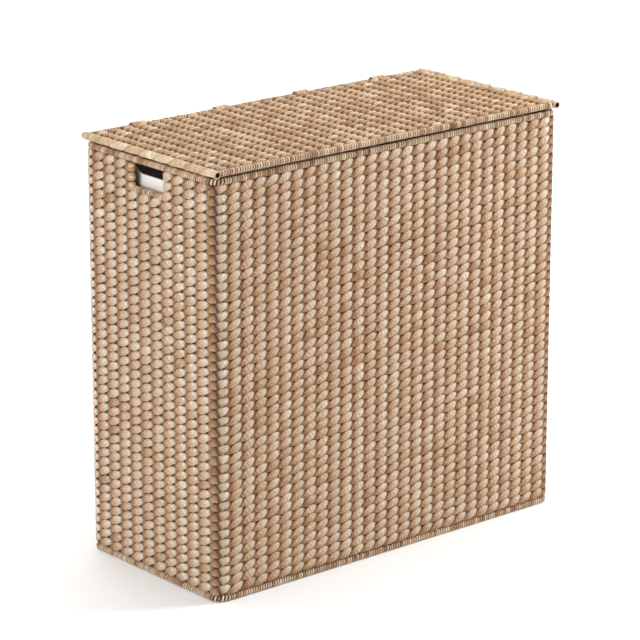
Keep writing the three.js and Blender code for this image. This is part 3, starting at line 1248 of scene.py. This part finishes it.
    def build(self) -> None:
        """Makes the bands of rows and the stakes, and dresses them."""
        material = self.finish.material()
        heights = self.bottom + self.pitch * (np.arange(self.rows) + 0.5)
        whole = heights[: self.rows - self.short_rows]
        walls = ["front_wall", "back_wall", "left_wall", "right_wall"]
        shoulders = [f"{side.word}_{facing.word}_shoulder" for side in Side for facing in Facing]
        for number, part in enumerate(np.array_split(whole, self.bands), start=1):
            skin, stands_for = self.full_rows(part), walls
            if number == self.bands:
                short = heights[self.rows - self.short_rows :]
                right = 0.5 + self.long_stakes + 1
                left = right + self.end_stakes + 1 + self.long_stakes + 1
                j, end = self.jamb_stakes, self.end_stakes
                front = self.short_row_pair(short, left + end - j - self.stakes, right + j)
                back = self.short_row_pair(short, right + end - j, left + j)
                skin, stands_for = Skin.join([skin, front, back]), walls + shoulders
            dress(skin.build(f"woven_rows_{number}"), material, Body.HAMPER, stands_for)
        dress(self.uprights().build("upright_stakes"), material, Body.HAMPER)


@dataclass
class WovenPanel:
    """A flat twined panel whose rows run along X and whose strands show on both faces."""

    node: str
    piece: str
    finish: PlantFinish
    body: Body
    stake_pitch: float
    rows: int = 22
    edge_gap: float = 0.06
    twining: Twining = field(default_factory=Twining)

    def build(self) -> None:
        """Makes the rows and dresses them."""
        low, high = (np.array(v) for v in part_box(self.node))
        t, rng = self.twining, np.random.default_rng(len(self.piece) * 7)
        pitch = (high[1] - low[1]) / self.rows
        heights = low[1] + pitch * (np.arange(self.rows) + 0.5)
        reach = high[0] / self.stake_pitch
        base = math.ceil(reach) + 1
        inner = t.stations(1, 2 * base)
        inner = inner[np.abs(inner - base) < reach - self.edge_gap]
        stake = np.concatenate([[base - reach], inner, [base + reach]])
        ground = np.zeros((2 * self.rows, len(stake), 3))
        ground[..., 0] = (stake - base) * self.stake_pitch
        ground[..., 1] = np.repeat(heights, 2)[:, None] + t.wandering(len(stake), self.rows, 4, rng)
        ground[..., 2] = (low[2] + high[2]) / 2
        normal = np.zeros_like(ground)
        normal[..., 2] = 1.0
        centres, wide, deep, tones = t.strands(stake, ground, normal, 1, 2 * base, rng)
        room = np.minimum(ground[..., 1] - low[1], high[1] - ground[..., 1])
        wide = np.minimum(wide, room + t.rise)
        values = {"tint": tones[..., None], "soil": 0.0}
        skin = sweep(centres, normal, wide, deep, t.sides, False, t.squareness, values)
        piece = t.lit(skin, ground, normal).build(self.piece)
        dress(piece, self.finish.material(), self.body, [self.node])


# ---------------------------------------------------------------------------------------------
# Wound rims and rolls
# ---------------------------------------------------------------------------------------------


@dataclass
class Winding:
    """A flat cord wound tightly round a rod.

    The cord's centre is the rod's line plus radius * (out * cos(a) + up * sin(a)), where the angle
    a grows by a full turn in each pitch along the rod.
    """

    pitch: float = 0.0045
    half_width: float = 0.00138
    half_depth: float = 0.0013
    steps: int = 10
    sides: int = 8
    tone_middle: float = 0.6
    tone_chance: float = 0.15

    def wrap(
        self,
        line: Line,
        length: float,
        outer: float,
        closed: bool,
        rng: np.random.Generator,
    ) -> Skin:
        """Winds the cord along a rod.

        Args:
            line: Gives the rod's points, its out directions and its up directions at distances.
            length: The rod's length.
            outer: The radius over the cord.
            closed: True if the rod comes back to its start.
            rng: The source of chance.

        Returns:
            The cord's skin.
        """
        turns = int(round(length / self.pitch))
        samples = turns * self.steps + (0 if closed else 1)
        turn = np.arange(samples) / self.steps
        lean = drift(samples, 1, 12, rng)[0] * 0.0002
        centre, out, up = line(turn * length / turns + lean)
        angle = 2.0 * np.pi * turn[:, None]
        look = out * np.cos(angle) + up * np.sin(angle)
        each = rng.normal(0.0, 1.0, turns + 1)
        each[-1] = each[0]
        whole = np.floor(turn + 0.25).astype(int) % turns
        swell = 0.00018 * np.abs(each[whole])
        centres = centre + look * (outer - self.half_depth - swell)[:, None]
        slow = drift(turns, 1, max(3, turns // 12), rng)[0]
        tone = self.tone_middle + self.tone_chance * (rng.normal(0.0, 1.0, turns) + 0.5 * slow)
        tint = np.clip(tone, 0.0, 1.0)[whole]
        skin = sweep(
            centres[None], look[None], self.half_width, self.half_depth, self.sides, closed,
            values={"tint": tint[None, :, None], "soil": 0.0},
        )  # fmt: skip
        points = skin.points.reshape(samples, self.sides, 3)
        off = np.linalg.norm(points - centre[:, None], axis=-1)
        dark, lit = outer - 1.5 * self.half_depth, outer - 0.3 * self.half_depth
        skin.values["open"] = ease(off, dark, lit).reshape(-1)
        return skin


@dataclass
class WoundRims:
    """Every cord-wound rod: the body's two rims, the two hand-hole sills and the lid's long edges."""

    finish: PlantFinish
    bend: float = 0.0165
    winding: Winding = field(default_factory=Winding)

    def ring_line(self, node: str) -> tuple[Line, float, float]:
        """The middle line of a wound ring.

        Args:
            node: The CAD binding round the ring.

        Returns:
            A function that finds the line at distances, the line's length and its outer radius.
        """
        low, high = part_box(node)
        outer = (high.z - low.z) / 2
        ring = RoundedRing(high.x - outer, high.y - outer, self.bend)
        middle = (low.z + high.z) / 2

        def line(travel: Array) -> tuple[Array, Array, Array]:
            """Finds points along the ring.

            Args:
                travel: Distances along it.

            Returns:
                Points, out directions and up directions.
            """
            place, out = ring.at(travel)
            place[..., 2] = middle
            up = np.zeros_like(place)
            up[..., 2] = 1.0
            return place, out, up

        return line, ring.length, outer

    def straight_line(self, node: str) -> tuple[Line, float, float]:
        """The middle line of a wound straight rod.

        Args:
            node: The CAD binding round the rod.

        Returns:
            A function that finds the line at distances, the line's length and its outer radius.
        """
        low, high = (np.array(v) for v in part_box(node))
        size, middle = high - low, (low + high) / 2
        axis = int(np.argmax(size))
        ahead = np.eye(3)[axis]
        up = np.array([0.0, 0.0, 1.0])
        out = np.cross(ahead, up)
        start = middle - ahead * size[axis] / 2

        def line(travel: Array) -> tuple[Array, Array, Array]:
            """Finds points along the rod.

            Args:
                travel: Distances along it.

            Returns:
                Points, out directions and up directions.
            """
            place = start + ahead * travel[:, None]
            return place, np.broadcast_to(out, place.shape), np.broadcast_to(up, place.shape)

        return line, float(size[axis]), float(size[2] / 2)

    def build(self) -> None:
        """Winds every rim and dresses it."""
        material = self.finish.material()
        rng = np.random.default_rng(5)
        for node, body in (
            ("top_binding", Body.HAMPER),
            ("base_binding", Body.HAMPER),
            ("left_handle_binding", Body.HAMPER),
            ("right_handle_binding", Body.HAMPER),
            ("lid_front_binding", Body.LID),
            ("lid_back_binding", Body.LID),
        ):
            closed = node in ("top_binding", "base_binding")
            line, length, outer = self.ring_line(node) if closed else self.straight_line(node)
            skin = self.winding.wrap(line, length, outer, closed, rng)
            dress(skin.build(node.replace("binding", "cord")), material, body, [node])


@dataclass
class LidRolls:
    """The lid's two end rolls: wide rush wound round the rod, each band lapped over the last.

    A point is at the rod's line plus radius * (cos, sin). The radius falls by the rush's thickness
    along each band and steps back up at the next band's edge, and two waves dent it by as much as
    dents gives. At its two ends the roll is open: the
    rush turns in over its edge and a short hole goes in, whose profile end gives as pairs of
    distance back from the end and drop in radius.
    """

    finish: PlantFinish
    band: float = 0.034
    rush: float = 0.0013
    rings: int = 274
    sides: int = 28
    tone_count: int = 64
    dents: tuple[float, float] = (0.00022, 0.0002)
    end: tuple[tuple[float, float], ...] = (
        (0.0016, 0.0),
        (0.0005, 0.0005),
        (0.0, 0.0016),
        (0.0, 0.0023),
        (0.0006, 0.0030),
        (0.005, 0.0033),
    )

    def skin(self, side: Side) -> Skin:
        """One roll's surface.

        Args:
            side: Which end of the lid.

        Returns:
            Its skin, a tube along Y closed at both ends.
        """
        low, high = (np.array(v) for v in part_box(f"lid_{side.word}_roll"))
        middle, radius, half = (low + high) / 2, (high[2] - low[2]) / 2, (high[1] - low[1]) / 2
        back, drop = np.array(self.end).T
        drop = np.append(drop, radius - 0.0006)
        back = np.append(back, back[-1])
        tube = np.linspace(-half, half, self.rings - 2 * len(back) + 2)[1:-1]
        along = np.concatenate([back[::-1] - half, tube * (1.0 - 2.0 * back[0] / half), half - back])
        drop = np.concatenate([drop[::-1], np.zeros(len(tube)), drop])[:, None]
        angle = np.arange(self.sides) * 2.0 * np.pi / self.sides
        y, a = np.meshgrid(along, angle, indexing="ij")
        lap = np.mod(y / self.band * side.value + a / (2 * np.pi), 1.0)
        edge = ease(lap, 0.0, 0.035)
        dip = self.rush * (1.0 - edge * (1.0 - lap * 0.75))
        rng = np.random.default_rng(40 + side.value)
        first, second = self.dents
        dent = first * np.sin(a * 3 + y * 260 + rng.uniform(0, 6)) + second * np.sin(a * 5 - y * 190)
        dent -= first + second
        r = np.maximum(radius - drop + np.where(drop > 0.001, 0.0, dent - dip), 0.0004)
        points = np.stack([middle[0] + r * np.cos(a), middle[1] + y, middle[2] + r * np.sin(a)], axis=-1)
        u, v, face_turn = a[:-1] * radius, y[:-1], 2 * np.pi / self.sides
        uvs = corner_uvs(u, (a[:-1] + face_turn) * radius, v, y[1:])
        cap = cap_quads(self.sides)
        far = cap[:, ::-1] + (self.rings - 1) * self.sides
        quads = np.concatenate([tube_quads(self.rings, self.sides), cap, far])
        uvs = np.concatenate([uvs, np.zeros((2 * len(cap), 4, 2))])
        band = np.floor(y / self.band * side.value + a / (2 * np.pi)).astype(int) % self.tone_count
        tint = np.clip(0.55 + 0.16 * rng.normal(0.0, 1.0, self.tone_count), 0.1, 0.95)[band]
        # Painted shade: the end holes are darkened, and each band is darkened for a short way from its lapped
        # edge.
        hole = ease(np.broadcast_to(drop, r.shape), 0.0022, 0.0032)
        open_air = np.clip(0.45 + 0.55 * ease(lap, 0.0, 0.2), 0, 1) * (1.0 - 0.9 * hole)
        return Skin(
            points.reshape(-1, 3), quads, uvs,
            {"tint": tint.reshape(-1), "open": open_air.reshape(-1), "soil": hole.reshape(-1)},
        )  # fmt: skip

    def build(self) -> None:
        """Makes both rolls and dresses them."""
        material = self.finish.material()
        for side in Side:
            piece = self.skin(side).build(f"{side.word}_rush_roll")
            dress(piece, material, Body.LID, [f"lid_{side.word}_roll"])


@dataclass
class HingeRopes:
    """Four rope hinges: each a few turns of rope round both back rims.

    The rope's centre runs round a stadium, two half circles joined by straights, and moves along X
    by one pitch in each round.
    """

    finish: PlantFinish
    count: int = 4
    rounds: int = 11
    steps: int = 28
    sides: int = 8
    radius: float = 0.00105

    def skin(self, node: str, rng: np.random.Generator) -> Skin:
        """One hinge's rope.

        Args:
            node: The CAD loop that it stands for.
            rng: The source of chance.

        Returns:
            Its skin.
        """
        low, high = (np.array(v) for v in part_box(node))
        middle, outer = (low + high) / 2, (high[1] - low[1]) / 2
        round_radius, half_rise = outer - self.radius, (high[2] - low[2]) / 2 - outer
        perimeter = 2 * np.pi * round_radius + 4 * half_rise
        turn = np.linspace(0.0, self.rounds, self.rounds * self.steps + 1)
        s = np.mod(turn, 1.0) * perimeter
        arc = np.pi * round_radius
        stretches = [s < arc, s < arc + 2 * half_rise, s < 2 * arc + 2 * half_rise]
        a = np.select(
            stretches,
            [s / round_radius, np.pi, np.pi + (s - arc - 2 * half_rise) / round_radius],
            2.0 * np.pi,
        )
        lift = np.select(
            stretches,
            [half_rise, half_rise - (s - arc), -half_rise],
            -half_rise + (s - 2 * arc - 2 * half_rise),
        )
        look = np.stack([np.zeros_like(a), np.cos(a), np.sin(a)], axis=-1)
        span = high[0] - low[0] - 2 * self.radius
        centres = middle + look * round_radius
        centres[:, 2] += lift
        centres[:, 0] += span * (turn / self.rounds - 0.5)
        whole = np.minimum(np.floor(turn).astype(int), self.rounds - 1)
        tint = np.clip(0.5 + 0.18 * rng.normal(0.0, 1.0, self.rounds), 0.0, 1.0)[whole]
        skin = sweep(
            centres[None], look[None], self.radius * 1.08, self.radius, self.sides, False, 1.0,
            values={"tint": tint[None, :, None], "soil": 0.0},
        )  # fmt: skip
        # Painted shade: each turn of rope is darker on the side that faces in against the rims it wraps,
        # lighter on its outer side.
        facing = np.cos(np.arange(self.sides) * 2 * np.pi / self.sides - np.pi / 2)
        skin.values["open"] = np.tile(np.clip(0.45 + 0.75 * facing, 0.0, 1.0), len(centres))
        return skin

    def build(self) -> None:
        """Makes the four hinges and dresses them."""
        material, rng = self.finish.material(), np.random.default_rng(8)
        for number in range(1, self.count + 1):
            node = f"hinge_loop_{number}"
            piece = self.skin(node, rng).build(f"hinge_rope_{number}")
            dress(piece, material, Body.LOOPS, [node])


# ---------------------------------------------------------------------------------------------
# Cotton liner bags
# ---------------------------------------------------------------------------------------------


@dataclass
class LinerBag:
    """One cotton bag, hung by its hem and dropped as cloth onto the hamper's base.

    The cloth starts as a rounded box: rings of points down the walls and in across the floor. Its
    hem is held, sagging between its tabs, and the rest is a little larger than the space, so it
    falls into soft folds.
    """

    side: Side
    cotton: bpy.types.Material
    tape: bpy.types.Material
    around: int = 120
    wall_rings: int = 30
    floor_rings: int = 8
    corner: float = 0.02
    sag: float = 0.009
    bow: float = 0.011
    spare: float = 0.022
    frames: int = 40
    room: float = 0.0018
    hem_depth: float = 0.02
    hem_thick: float = 0.0016
    stitch_pitch: float = 0.006
    tape_thick: float = 0.0016
    flat_sides: int = 12
    flatness: float = 0.35

    def __post_init__(self) -> None:
        """Reads the CAD bag's box."""
        self.node = f"{self.side.word}_liner_bag"
        low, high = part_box(self.node)
        self.low, self.high = np.array(low), np.array(high)
        self.middle = (self.low + self.high) / 2
        half = (self.high - self.low) / 2
        self.ring = RoundedRing(half[0], half[1], self.corner)
        self.tab_nodes = [
            f"{self.side.word}_{rail}_tab_{facing.word}" for rail in ("end", "divider") for facing in Facing
        ]

    def hem_height(self, place: Array) -> Array:
        """The hem's height: it hangs in a shallow curve between the tabs that hold it.

        Args:
            place: Points along the hem, in the row frame.

        Returns:
            Their heights.
        """
        grips = []
        for node in self.tab_nodes:
            low, high = (np.array(v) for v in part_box(node))
            x, y = ((low + high) / 2)[:2]
            on_high_side = abs(x - self.high[0]) < abs(x - self.low[0])
            grips.append([self.high[0] if on_high_side else self.low[0], y])
        away = np.min(np.linalg.norm(place[:, None, :2] - np.array(grips)[None], axis=-1), axis=1)
        return self.high[2] - 0.0006 - self.sag * ease(away, 0.012, 0.06)

    def bowed(self, x: Array, y: Array) -> Array:
        """How far the slack hem bows towards the hand hole between its two end tabs.

        Args:
            x: Where the points are across the hamper.
            y: Where they are from front to back.

        Returns:
            The shift along X of each.
        """
        near_end = ease(x * self.side.value, 0.27, 0.292)
        return self.side.value * self.bow * near_end * (1.0 - ease(np.abs(y), 0.03, 0.084))

    def start_shape(self, rng: np.random.Generator) -> tuple[Array, Array, Array]:
        """The bag before it drops.

        A wall point is the hem's point moved down by its share of the height. A floor point is the
        wall's foot drawn in towards the middle.

        Args:
            rng: The source of chance for the first small ripples.

        Returns:
            Points (rings, around, 3), faces and the UV at each face corner.
        """
        travel = np.arange(self.around) / self.around * self.ring.length
        rim, outward = self.ring.at(travel)
        rim = rim + self.middle
        foot, hem = self.low[2] + 0.0012, self.hem_height(rim)
        down = np.linspace(0.0, 1.0, self.wall_rings + 1)
        wall = np.repeat(rim[None], self.wall_rings + 1, axis=0)
        wall[..., 2] = hem[None] + (foot - hem[None]) * down[:, None]
        ripple = drift(self.around, self.wall_rings + 1, 14, rng)
        ripple = np.cumsum(ripple, axis=0) / np.sqrt(np.arange(1, self.wall_rings + 2))[:, None]
        wall += outward[None] * (ripple * 0.0011 * ease(down, 0.0, 0.3)[:, None] - 0.0016)[..., None]
        wall[..., 0] += self.bowed(wall[..., 0], wall[..., 1]) * (1.0 - ease(down, 0.25, 0.95))[:, None]
        draw = np.linspace(1.0, 0.04, self.floor_rings + 1)[1:]
        centre = np.array([self.middle[0], self.middle[1], foot])
        floor = centre + (wall[-1][None] - centre) * draw[:, None, None]
        floor[..., 2] += 0.0006
        points = np.concatenate([wall, floor])
        rings, n = len(points), self.around
        ring, step = np.meshgrid(np.arange(rings - 1), np.arange(n), indexing="ij")
        hop, reach = self.ring.length / n, (self.high[2] - self.low[2]) / self.wall_rings
        u, v = step / n * self.ring.length, ring * reach
        cap = cap_quads(n) + (rings - 1) * n
        quads = np.concatenate([tube_quads(rings, n), cap])
        uvs = np.concatenate([corner_uvs(u, u + hop, v, v + reach), np.zeros((len(cap), 4, 2))])
        return points, quads, uvs

    def drop(self, cloth: bpy.types.Object, base: bpy.types.Object) -> Array:
        """Runs the cloth and gives where its points end up.

        Args:
            cloth: The bag, with a vertex group named hem.
            base: What it lands on.

        Returns:
            The points after the last frame.
        """
        scene = bpy.context.scene
        collide = base.modifiers.new("land", "COLLISION")
        base.collision.thickness_outer = 0.0012
        modifier = cloth.modifiers.new("cotton", "CLOTH")
        s = modifier.settings
        s.quality, s.mass, s.air_damping = 6, 0.25, 2.0
        s.tension_stiffness = s.compression_stiffness = 25.0
        s.shear_stiffness, s.bending_stiffness = 8.0, 0.35
        s.tension_damping = s.compression_damping = s.shear_damping = 8.0
        s.vertex_group_mass, s.pin_stiffness, s.shrink_min = "hem", 1.0, -self.spare
        modifier.collision_settings.distance_min = 0.0012
        modifier.collision_settings.use_self_collision = False
        modifier.point_cache.frame_start, modifier.point_cache.frame_end = 1, self.frames
        for number in range(1, self.frames + 1):
            scene.frame_set(number)
        settled = cloth.evaluated_get(bpy.context.evaluated_depsgraph_get())
        co = np.zeros(len(settled.data.vertices) * 3, np.float32)
        settled.data.vertices.foreach_get("co", co)
        cloth.modifiers.remove(modifier)
        base.modifiers.remove(collide)
        scene.frame_set(1)
        return co.reshape(-1, 3).astype(float)

    def kept_inside(self, points: Array) -> Array:
        """Caps how far the cloth has moved, so that it stays in its space and off its neighbours.

        Args:
            points: The cloth's points.

        Returns:
            The points, each moved to the nearest place inside.
        """
        low, high = self.low - self.room, self.high + self.room
        low[2], high[2] = self.low[2] + 0.0004, self.high[2]
        if self.side is Side.LEFT:
            low[0] -= self.bow
        else:
            high[0] += self.bow
        return np.clip(points, low, high)

    def hem_band(self, points: Array) -> Skin:
        """The turned hem: a flat band that follows the bag's top edge, a little thicker than the cloth.

        Args:
            points: The cloth's points, the top edge's first.

        Returns:
            The band's skin.
        """
        travel = np.arange(self.around) / self.around * self.ring.length
        _, outward = self.ring.at(travel)
        centres = points[: self.around].copy()
        wide = self.hem_depth / 2
        centres[:, 2] -= wide - 0.0004
        look = outward[None]
        return sweep(centres[None], look, wide, self.hem_thick, self.flat_sides, True, self.flatness)

    def stitches(self, points: Array) -> Skin:
        """Short thread dashes along the hem's lower edge, on both faces of the cloth.

        Args:
            points: The cloth's points, the top edge's first.

        Returns:
            The dashes' skin.
        """
        fine = np.arange(int(self.ring.length / self.stitch_pitch))
        at = (fine + 0.5) / len(fine) * self.around
        low = np.floor(at).astype(int) % self.around
        t = (at - np.floor(at))[:, None]
        place = points[low] * (1 - t) + points[(low + 1) % self.around] * t
        _, outward = self.ring.at(at / self.around * self.ring.length)
        ahead = np.cross([0.0, 0.0, 1.0], outward)
        place[:, 2] -= self.hem_depth - 0.0032
        parts = []
        for way in (-1.0, 1.0):
            middle = place + outward * way * (self.hem_thick + 0.00005)
            centres = middle[:, None] + ahead[:, None] * np.linspace(-0.0017, 0.0017, 3)[None, :, None]
            look = np.repeat(outward[:, None] * way, 3, axis=1)
            parts.append(sweep(centres, look, 0.00035, 0.0003, 4, False, 1.0))
        return Skin.join(parts)

    def tab(self, node: str) -> Skin:
        """A folded tape: up the outside of the bag, over its rod and down again, with a soft bow.

        The line goes straight up beside the rod, half round it and down, and the section is a flat
        one as wide as the tape.

        Args:
            node: The CAD tab that it stands for.

        Returns:
            The tape's skin.
        """
        low, high = (np.array(v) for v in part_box(node))
        middle, radius = (low + high) / 2, (high[0] - low[0]) / 2
        thick, top = self.tape_thick, high[2] - radius
        leg_sign = self.side.value if "end" in node else -self.side.value
        arc = np.linspace(0.0, np.pi, 13)[1:-1]
        long_leg, short_leg = np.linspace(low[2], top, 10), np.linspace(top, top - 0.01, 4)
        up, down = np.ones_like(long_leg), np.ones_like(short_leg)
        line = radius - thick / 2
        look_x = np.concatenate([-up, -np.cos(arc), down])
        look_z = np.concatenate([0.0 * up, np.sin(arc), 0.0 * down])
        x = line * look_x
        z = np.concatenate([long_leg, top + line * np.sin(arc), short_leg])
        centres = np.stack([middle[0] + x * leg_sign, np.full_like(x, middle[1]), z], axis=-1)
        look = np.stack([look_x * leg_sign, np.zeros_like(x), look_z], axis=-1)
        half = (high[1] - low[1]) / 2
        return sweep(centres[None], look[None], half, thick / 2, self.flat_sides, False, self.flatness)

    def build(self) -> None:
        """Makes the bag, its hem, its stitches and its tabs, and dresses them."""
        word = self.side.word
        rng = np.random.default_rng(60 + self.side.value)
        points, quads, uvs = self.start_shape(rng)
        flat = points.reshape(-1, 3)
        bag = Skin(flat, quads, uvs, {}).build(f"{word}_bag_cloth")
        hem = bag.vertex_groups.new(name="hem")
        hem.add(list(range(self.around)), 1.0, "REPLACE")
        base = self.landing()
        flat = self.drop(bag, base)
        bpy.data.objects.remove(base)
        bag.vertex_groups.clear()
        flat = self.kept_inside(flat)
        bag.data.vertices.foreach_set("co", flat.astype(np.float32).ravel())
        bag.data.update()
        solid = bag.modifiers.new("cloth thickness", "SOLIDIFY")
        solid.thickness, solid.offset = 0.0009, 0.0
        smooth = bag.modifiers.new("soft folds", "SUBSURF")
        smooth.levels = smooth.render_levels = 1
        dress(bag, self.cotton, Body.HAMPER, [self.node])
        hem_band = self.hem_band(flat).build(f"{word}_bag_hem")
        stitches = self.stitches(flat).build(f"{word}_bag_stitches")
        pieces = [
            dress(hem_band, self.cotton, Body.HAMPER),
            dress(stitches, self.tape, Body.HAMPER),
        ]
        for node in self.tab_nodes:
            tab = self.tab(node).build(node.replace("tab", "tape"))
            pieces.append(dress(tab, self.tape, Body.HAMPER, [node]))

    def landing(self) -> bpy.types.Object:
        """Makes a plain floor under the bag, for the cloth to land on.

        Returns:
            The floor, to be removed once the cloth has settled.
        """
        mesh = bpy.data.meshes.new("landing")
        x, y, z = self.middle[0], self.middle[1], self.low[2] - 0.0008
        corners = [(x - 0.3, y - 0.3, z), (x + 0.3, y - 0.3, z), (x + 0.3, y + 0.3, z), (x - 0.3, y + 0.3, z)]
        mesh.from_pydata(corners, [], [(0, 1, 2, 3)])
        base = bpy.data.objects.new("landing", mesh)
        bpy.context.scene.collection.objects.link(base)
        return base


# ---------------------------------------------------------------------------------------------
# Wire frame, studio
# ---------------------------------------------------------------------------------------------


@dataclass
class WireFrame:
    """The painted wire rods, which keep their CAD meshes."""

    finish: PaintedWireFinish

    def build(self) -> None:
        """Paints every CAD node of the wire slot."""
        material = self.finish.material()
        wires = [s["node"] for s in frame["record"]["subparts"] if s["material_slot"] == Slot.WIRE.value]
        for name in wires:
            node = frame["nodes"][name]
            node.data.materials.clear()
            node.data.materials.append(material)
        log.info("painted %d wire rods", len(wires))


@dataclass
class SoftLight:
    """One large soft light: its place, its size, its power and what it looks at."""

    name: str
    place: tuple[float, float, float]
    width: float
    power: float
    aim: tuple[float, float, float] = (0.0, 0.0, 0.3)


@dataclass
class Studio:
    """A pale floor, soft lights and the camera.

    The camera stands at a distance from the target, back along its own line of sight, moved a
    little to the side and up.
    """

    target: tuple[float, float, float] = (0.0, 0.0, 0.3175)
    azimuth: float = 40.5
    elevation: float = 17.0
    distance: float = 4.774
    lens: float = 180.6
    aside: float = -0.00793
    above: float = 0.00462
    floor_colour: Colour = (0.88, 0.88, 0.88)
    floor_reach: float = 12.0
    sky: float = 0.5
    lights: tuple[SoftLight, ...] = (
        SoftLight("left_soft", (-3.0, -0.8, 1.2), 1.8, 54.0),
        SoftLight("right_key", (1.55, -0.95, 1.5), 0.8, 40.0),
        SoftLight("top", (-0.3, 0.6, 3.0), 2.0, 36.0),
        SoftLight("floor_wash", (2.6, 4.6, 3.2), 5.0, 260.0, (2.8, 5.0, 0.0)),
    )

    def build_camera(self) -> None:
        """Puts the camera at its place, looking along its line of sight."""
        a, e = math.radians(self.azimuth), math.radians(self.elevation)
        ahead = Vector((math.sin(a) * math.cos(e), math.cos(a) * math.cos(e), -math.sin(e)))
        right = ahead.cross(Vector((0.0, 0.0, 1.0))).normalized()
        up = right.cross(ahead)
        camera = bpy.data.objects.new("camera", bpy.data.cameras.new("camera"))
        camera.data.lens, camera.data.sensor_width = self.lens, 36.0
        camera.location = Vector(self.target) - ahead * self.distance + right * self.aside + up * self.above
        camera.rotation_mode = "QUATERNION"
        camera.rotation_quaternion = ahead.to_track_quat("-Z", "Y")
        bpy.context.scene.collection.objects.link(camera)
        bpy.context.scene.camera = camera

    def build_lights(self) -> None:
        """Hangs the soft lights, each turned to what it looks at, under an even sky."""
        for light in self.lights:
            lamp = bpy.data.lights.new(light.name, "AREA")
            lamp.shape, lamp.size, lamp.energy = "DISK", light.width, light.power
            holder = bpy.data.objects.new(light.name, lamp)
            holder.location = light.place
            holder.rotation_mode = "QUATERNION"
            look = Vector(light.aim) - Vector(light.place)
            holder.rotation_quaternion = look.to_track_quat("-Z", "Y")
            bpy.context.scene.collection.objects.link(holder)
        world = bpy.data.worlds.new("sky")
        world.use_nodes = True
        sky = world.node_tree.nodes["Background"]
        sky.inputs[0].default_value, sky.inputs[1].default_value = opaque((1.0, 1.0, 1.0)), self.sky
        bpy.context.scene.world = world

    def build_floor(self) -> None:
        """Lays a plain pale floor, a flat grid whose points are x and y on even steps at z = 0."""
        edge = np.linspace(-self.floor_reach, self.floor_reach, 13)
        x, y = np.meshgrid(edge, edge, indexing="ij")
        points = np.stack([x, y, np.zeros_like(x)], axis=-1)
        n = len(edge)
        i, j = np.meshgrid(np.arange(n - 1), np.arange(n - 1), indexing="ij")
        start, on = i * n + j, (i + 1) * n + j
        quads = np.stack([start, on, on + 1, start + 1], axis=-1).reshape(-1, 4)
        skin = Skin(points.reshape(-1, 3), quads, np.zeros((len(quads), 4, 2)), {})
        floor = skin.build("floor")
        material, g, shader = surface("pale_floor")
        place = g.add("ShaderNodeTexCoord").outputs["Object"]
        grain = g.math("MULTIPLY", g.noise(place, 3.0, 3.0), 0.3)
        darker = tuple(c * 0.97 for c in self.floor_colour)
        colour = g.blend("MIX", grain, opaque(self.floor_colour), opaque(darker))
        g.feed(shader, {"Base Color": colour, "Roughness": 0.9, "Specular IOR Level": 0.1})
        floor.data.materials.append(material)

    def build(self) -> None:
        """Sets up the camera, the lights and the floor, with plain colour management."""
        self.build_camera()
        self.build_lights()
        self.build_floor()
        view = bpy.context.scene.view_settings
        view.view_transform, view.look = "Standard", "None"
        view.exposure, view.gamma = 0.0, 1.0


def corners(box: tuple[Vector, Vector]) -> list[list[float]]:
    """A box as plain lists of numbers."""
    return [[round(float(v), 5) for v in corner] for corner in box]


def main() -> None:
    """Builds the hamper's sub-assemblies in order."""
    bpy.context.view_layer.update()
    finishes = Finishes()
    Studio().build()
    WireFrame(finishes.wire).build()
    WovenBody(finishes.straw).build()
    flat = Twining(
        swing=0.0024,
        rise=0.0037,
        half_width=0.0058,
        half_pinch=0.003,
        half_depth=0.0022,
        round_depth=0.0027,
    )
    # The lid's stitches get more chance in tone and a stronger head-to-tail lightening, partly a painted
    # highlight.
    lid = replace(flat, tone_chance=0.1, bleach=0.7)
    WovenPanel("base_panel", "woven_base", finishes.straw, Body.HAMPER, 0.0238, twining=flat).build()
    WovenPanel("lid_panel", "woven_lid", finishes.lid_straw, Body.LID, 0.02357, twining=lid).build()
    WoundRims(finishes.cord).build()
    LidRolls(finishes.rush).build()
    HingeRopes(finishes.rope).build()
    cotton, tape = finishes.cotton.material(), finishes.tape.material()
    for side in Side:
        LinerBag(side, cotton, tape).build()


if __name__ == "__main__":
    logging.basicConfig(level=logging.INFO, format="%(name)s: %(message)s")
    main()
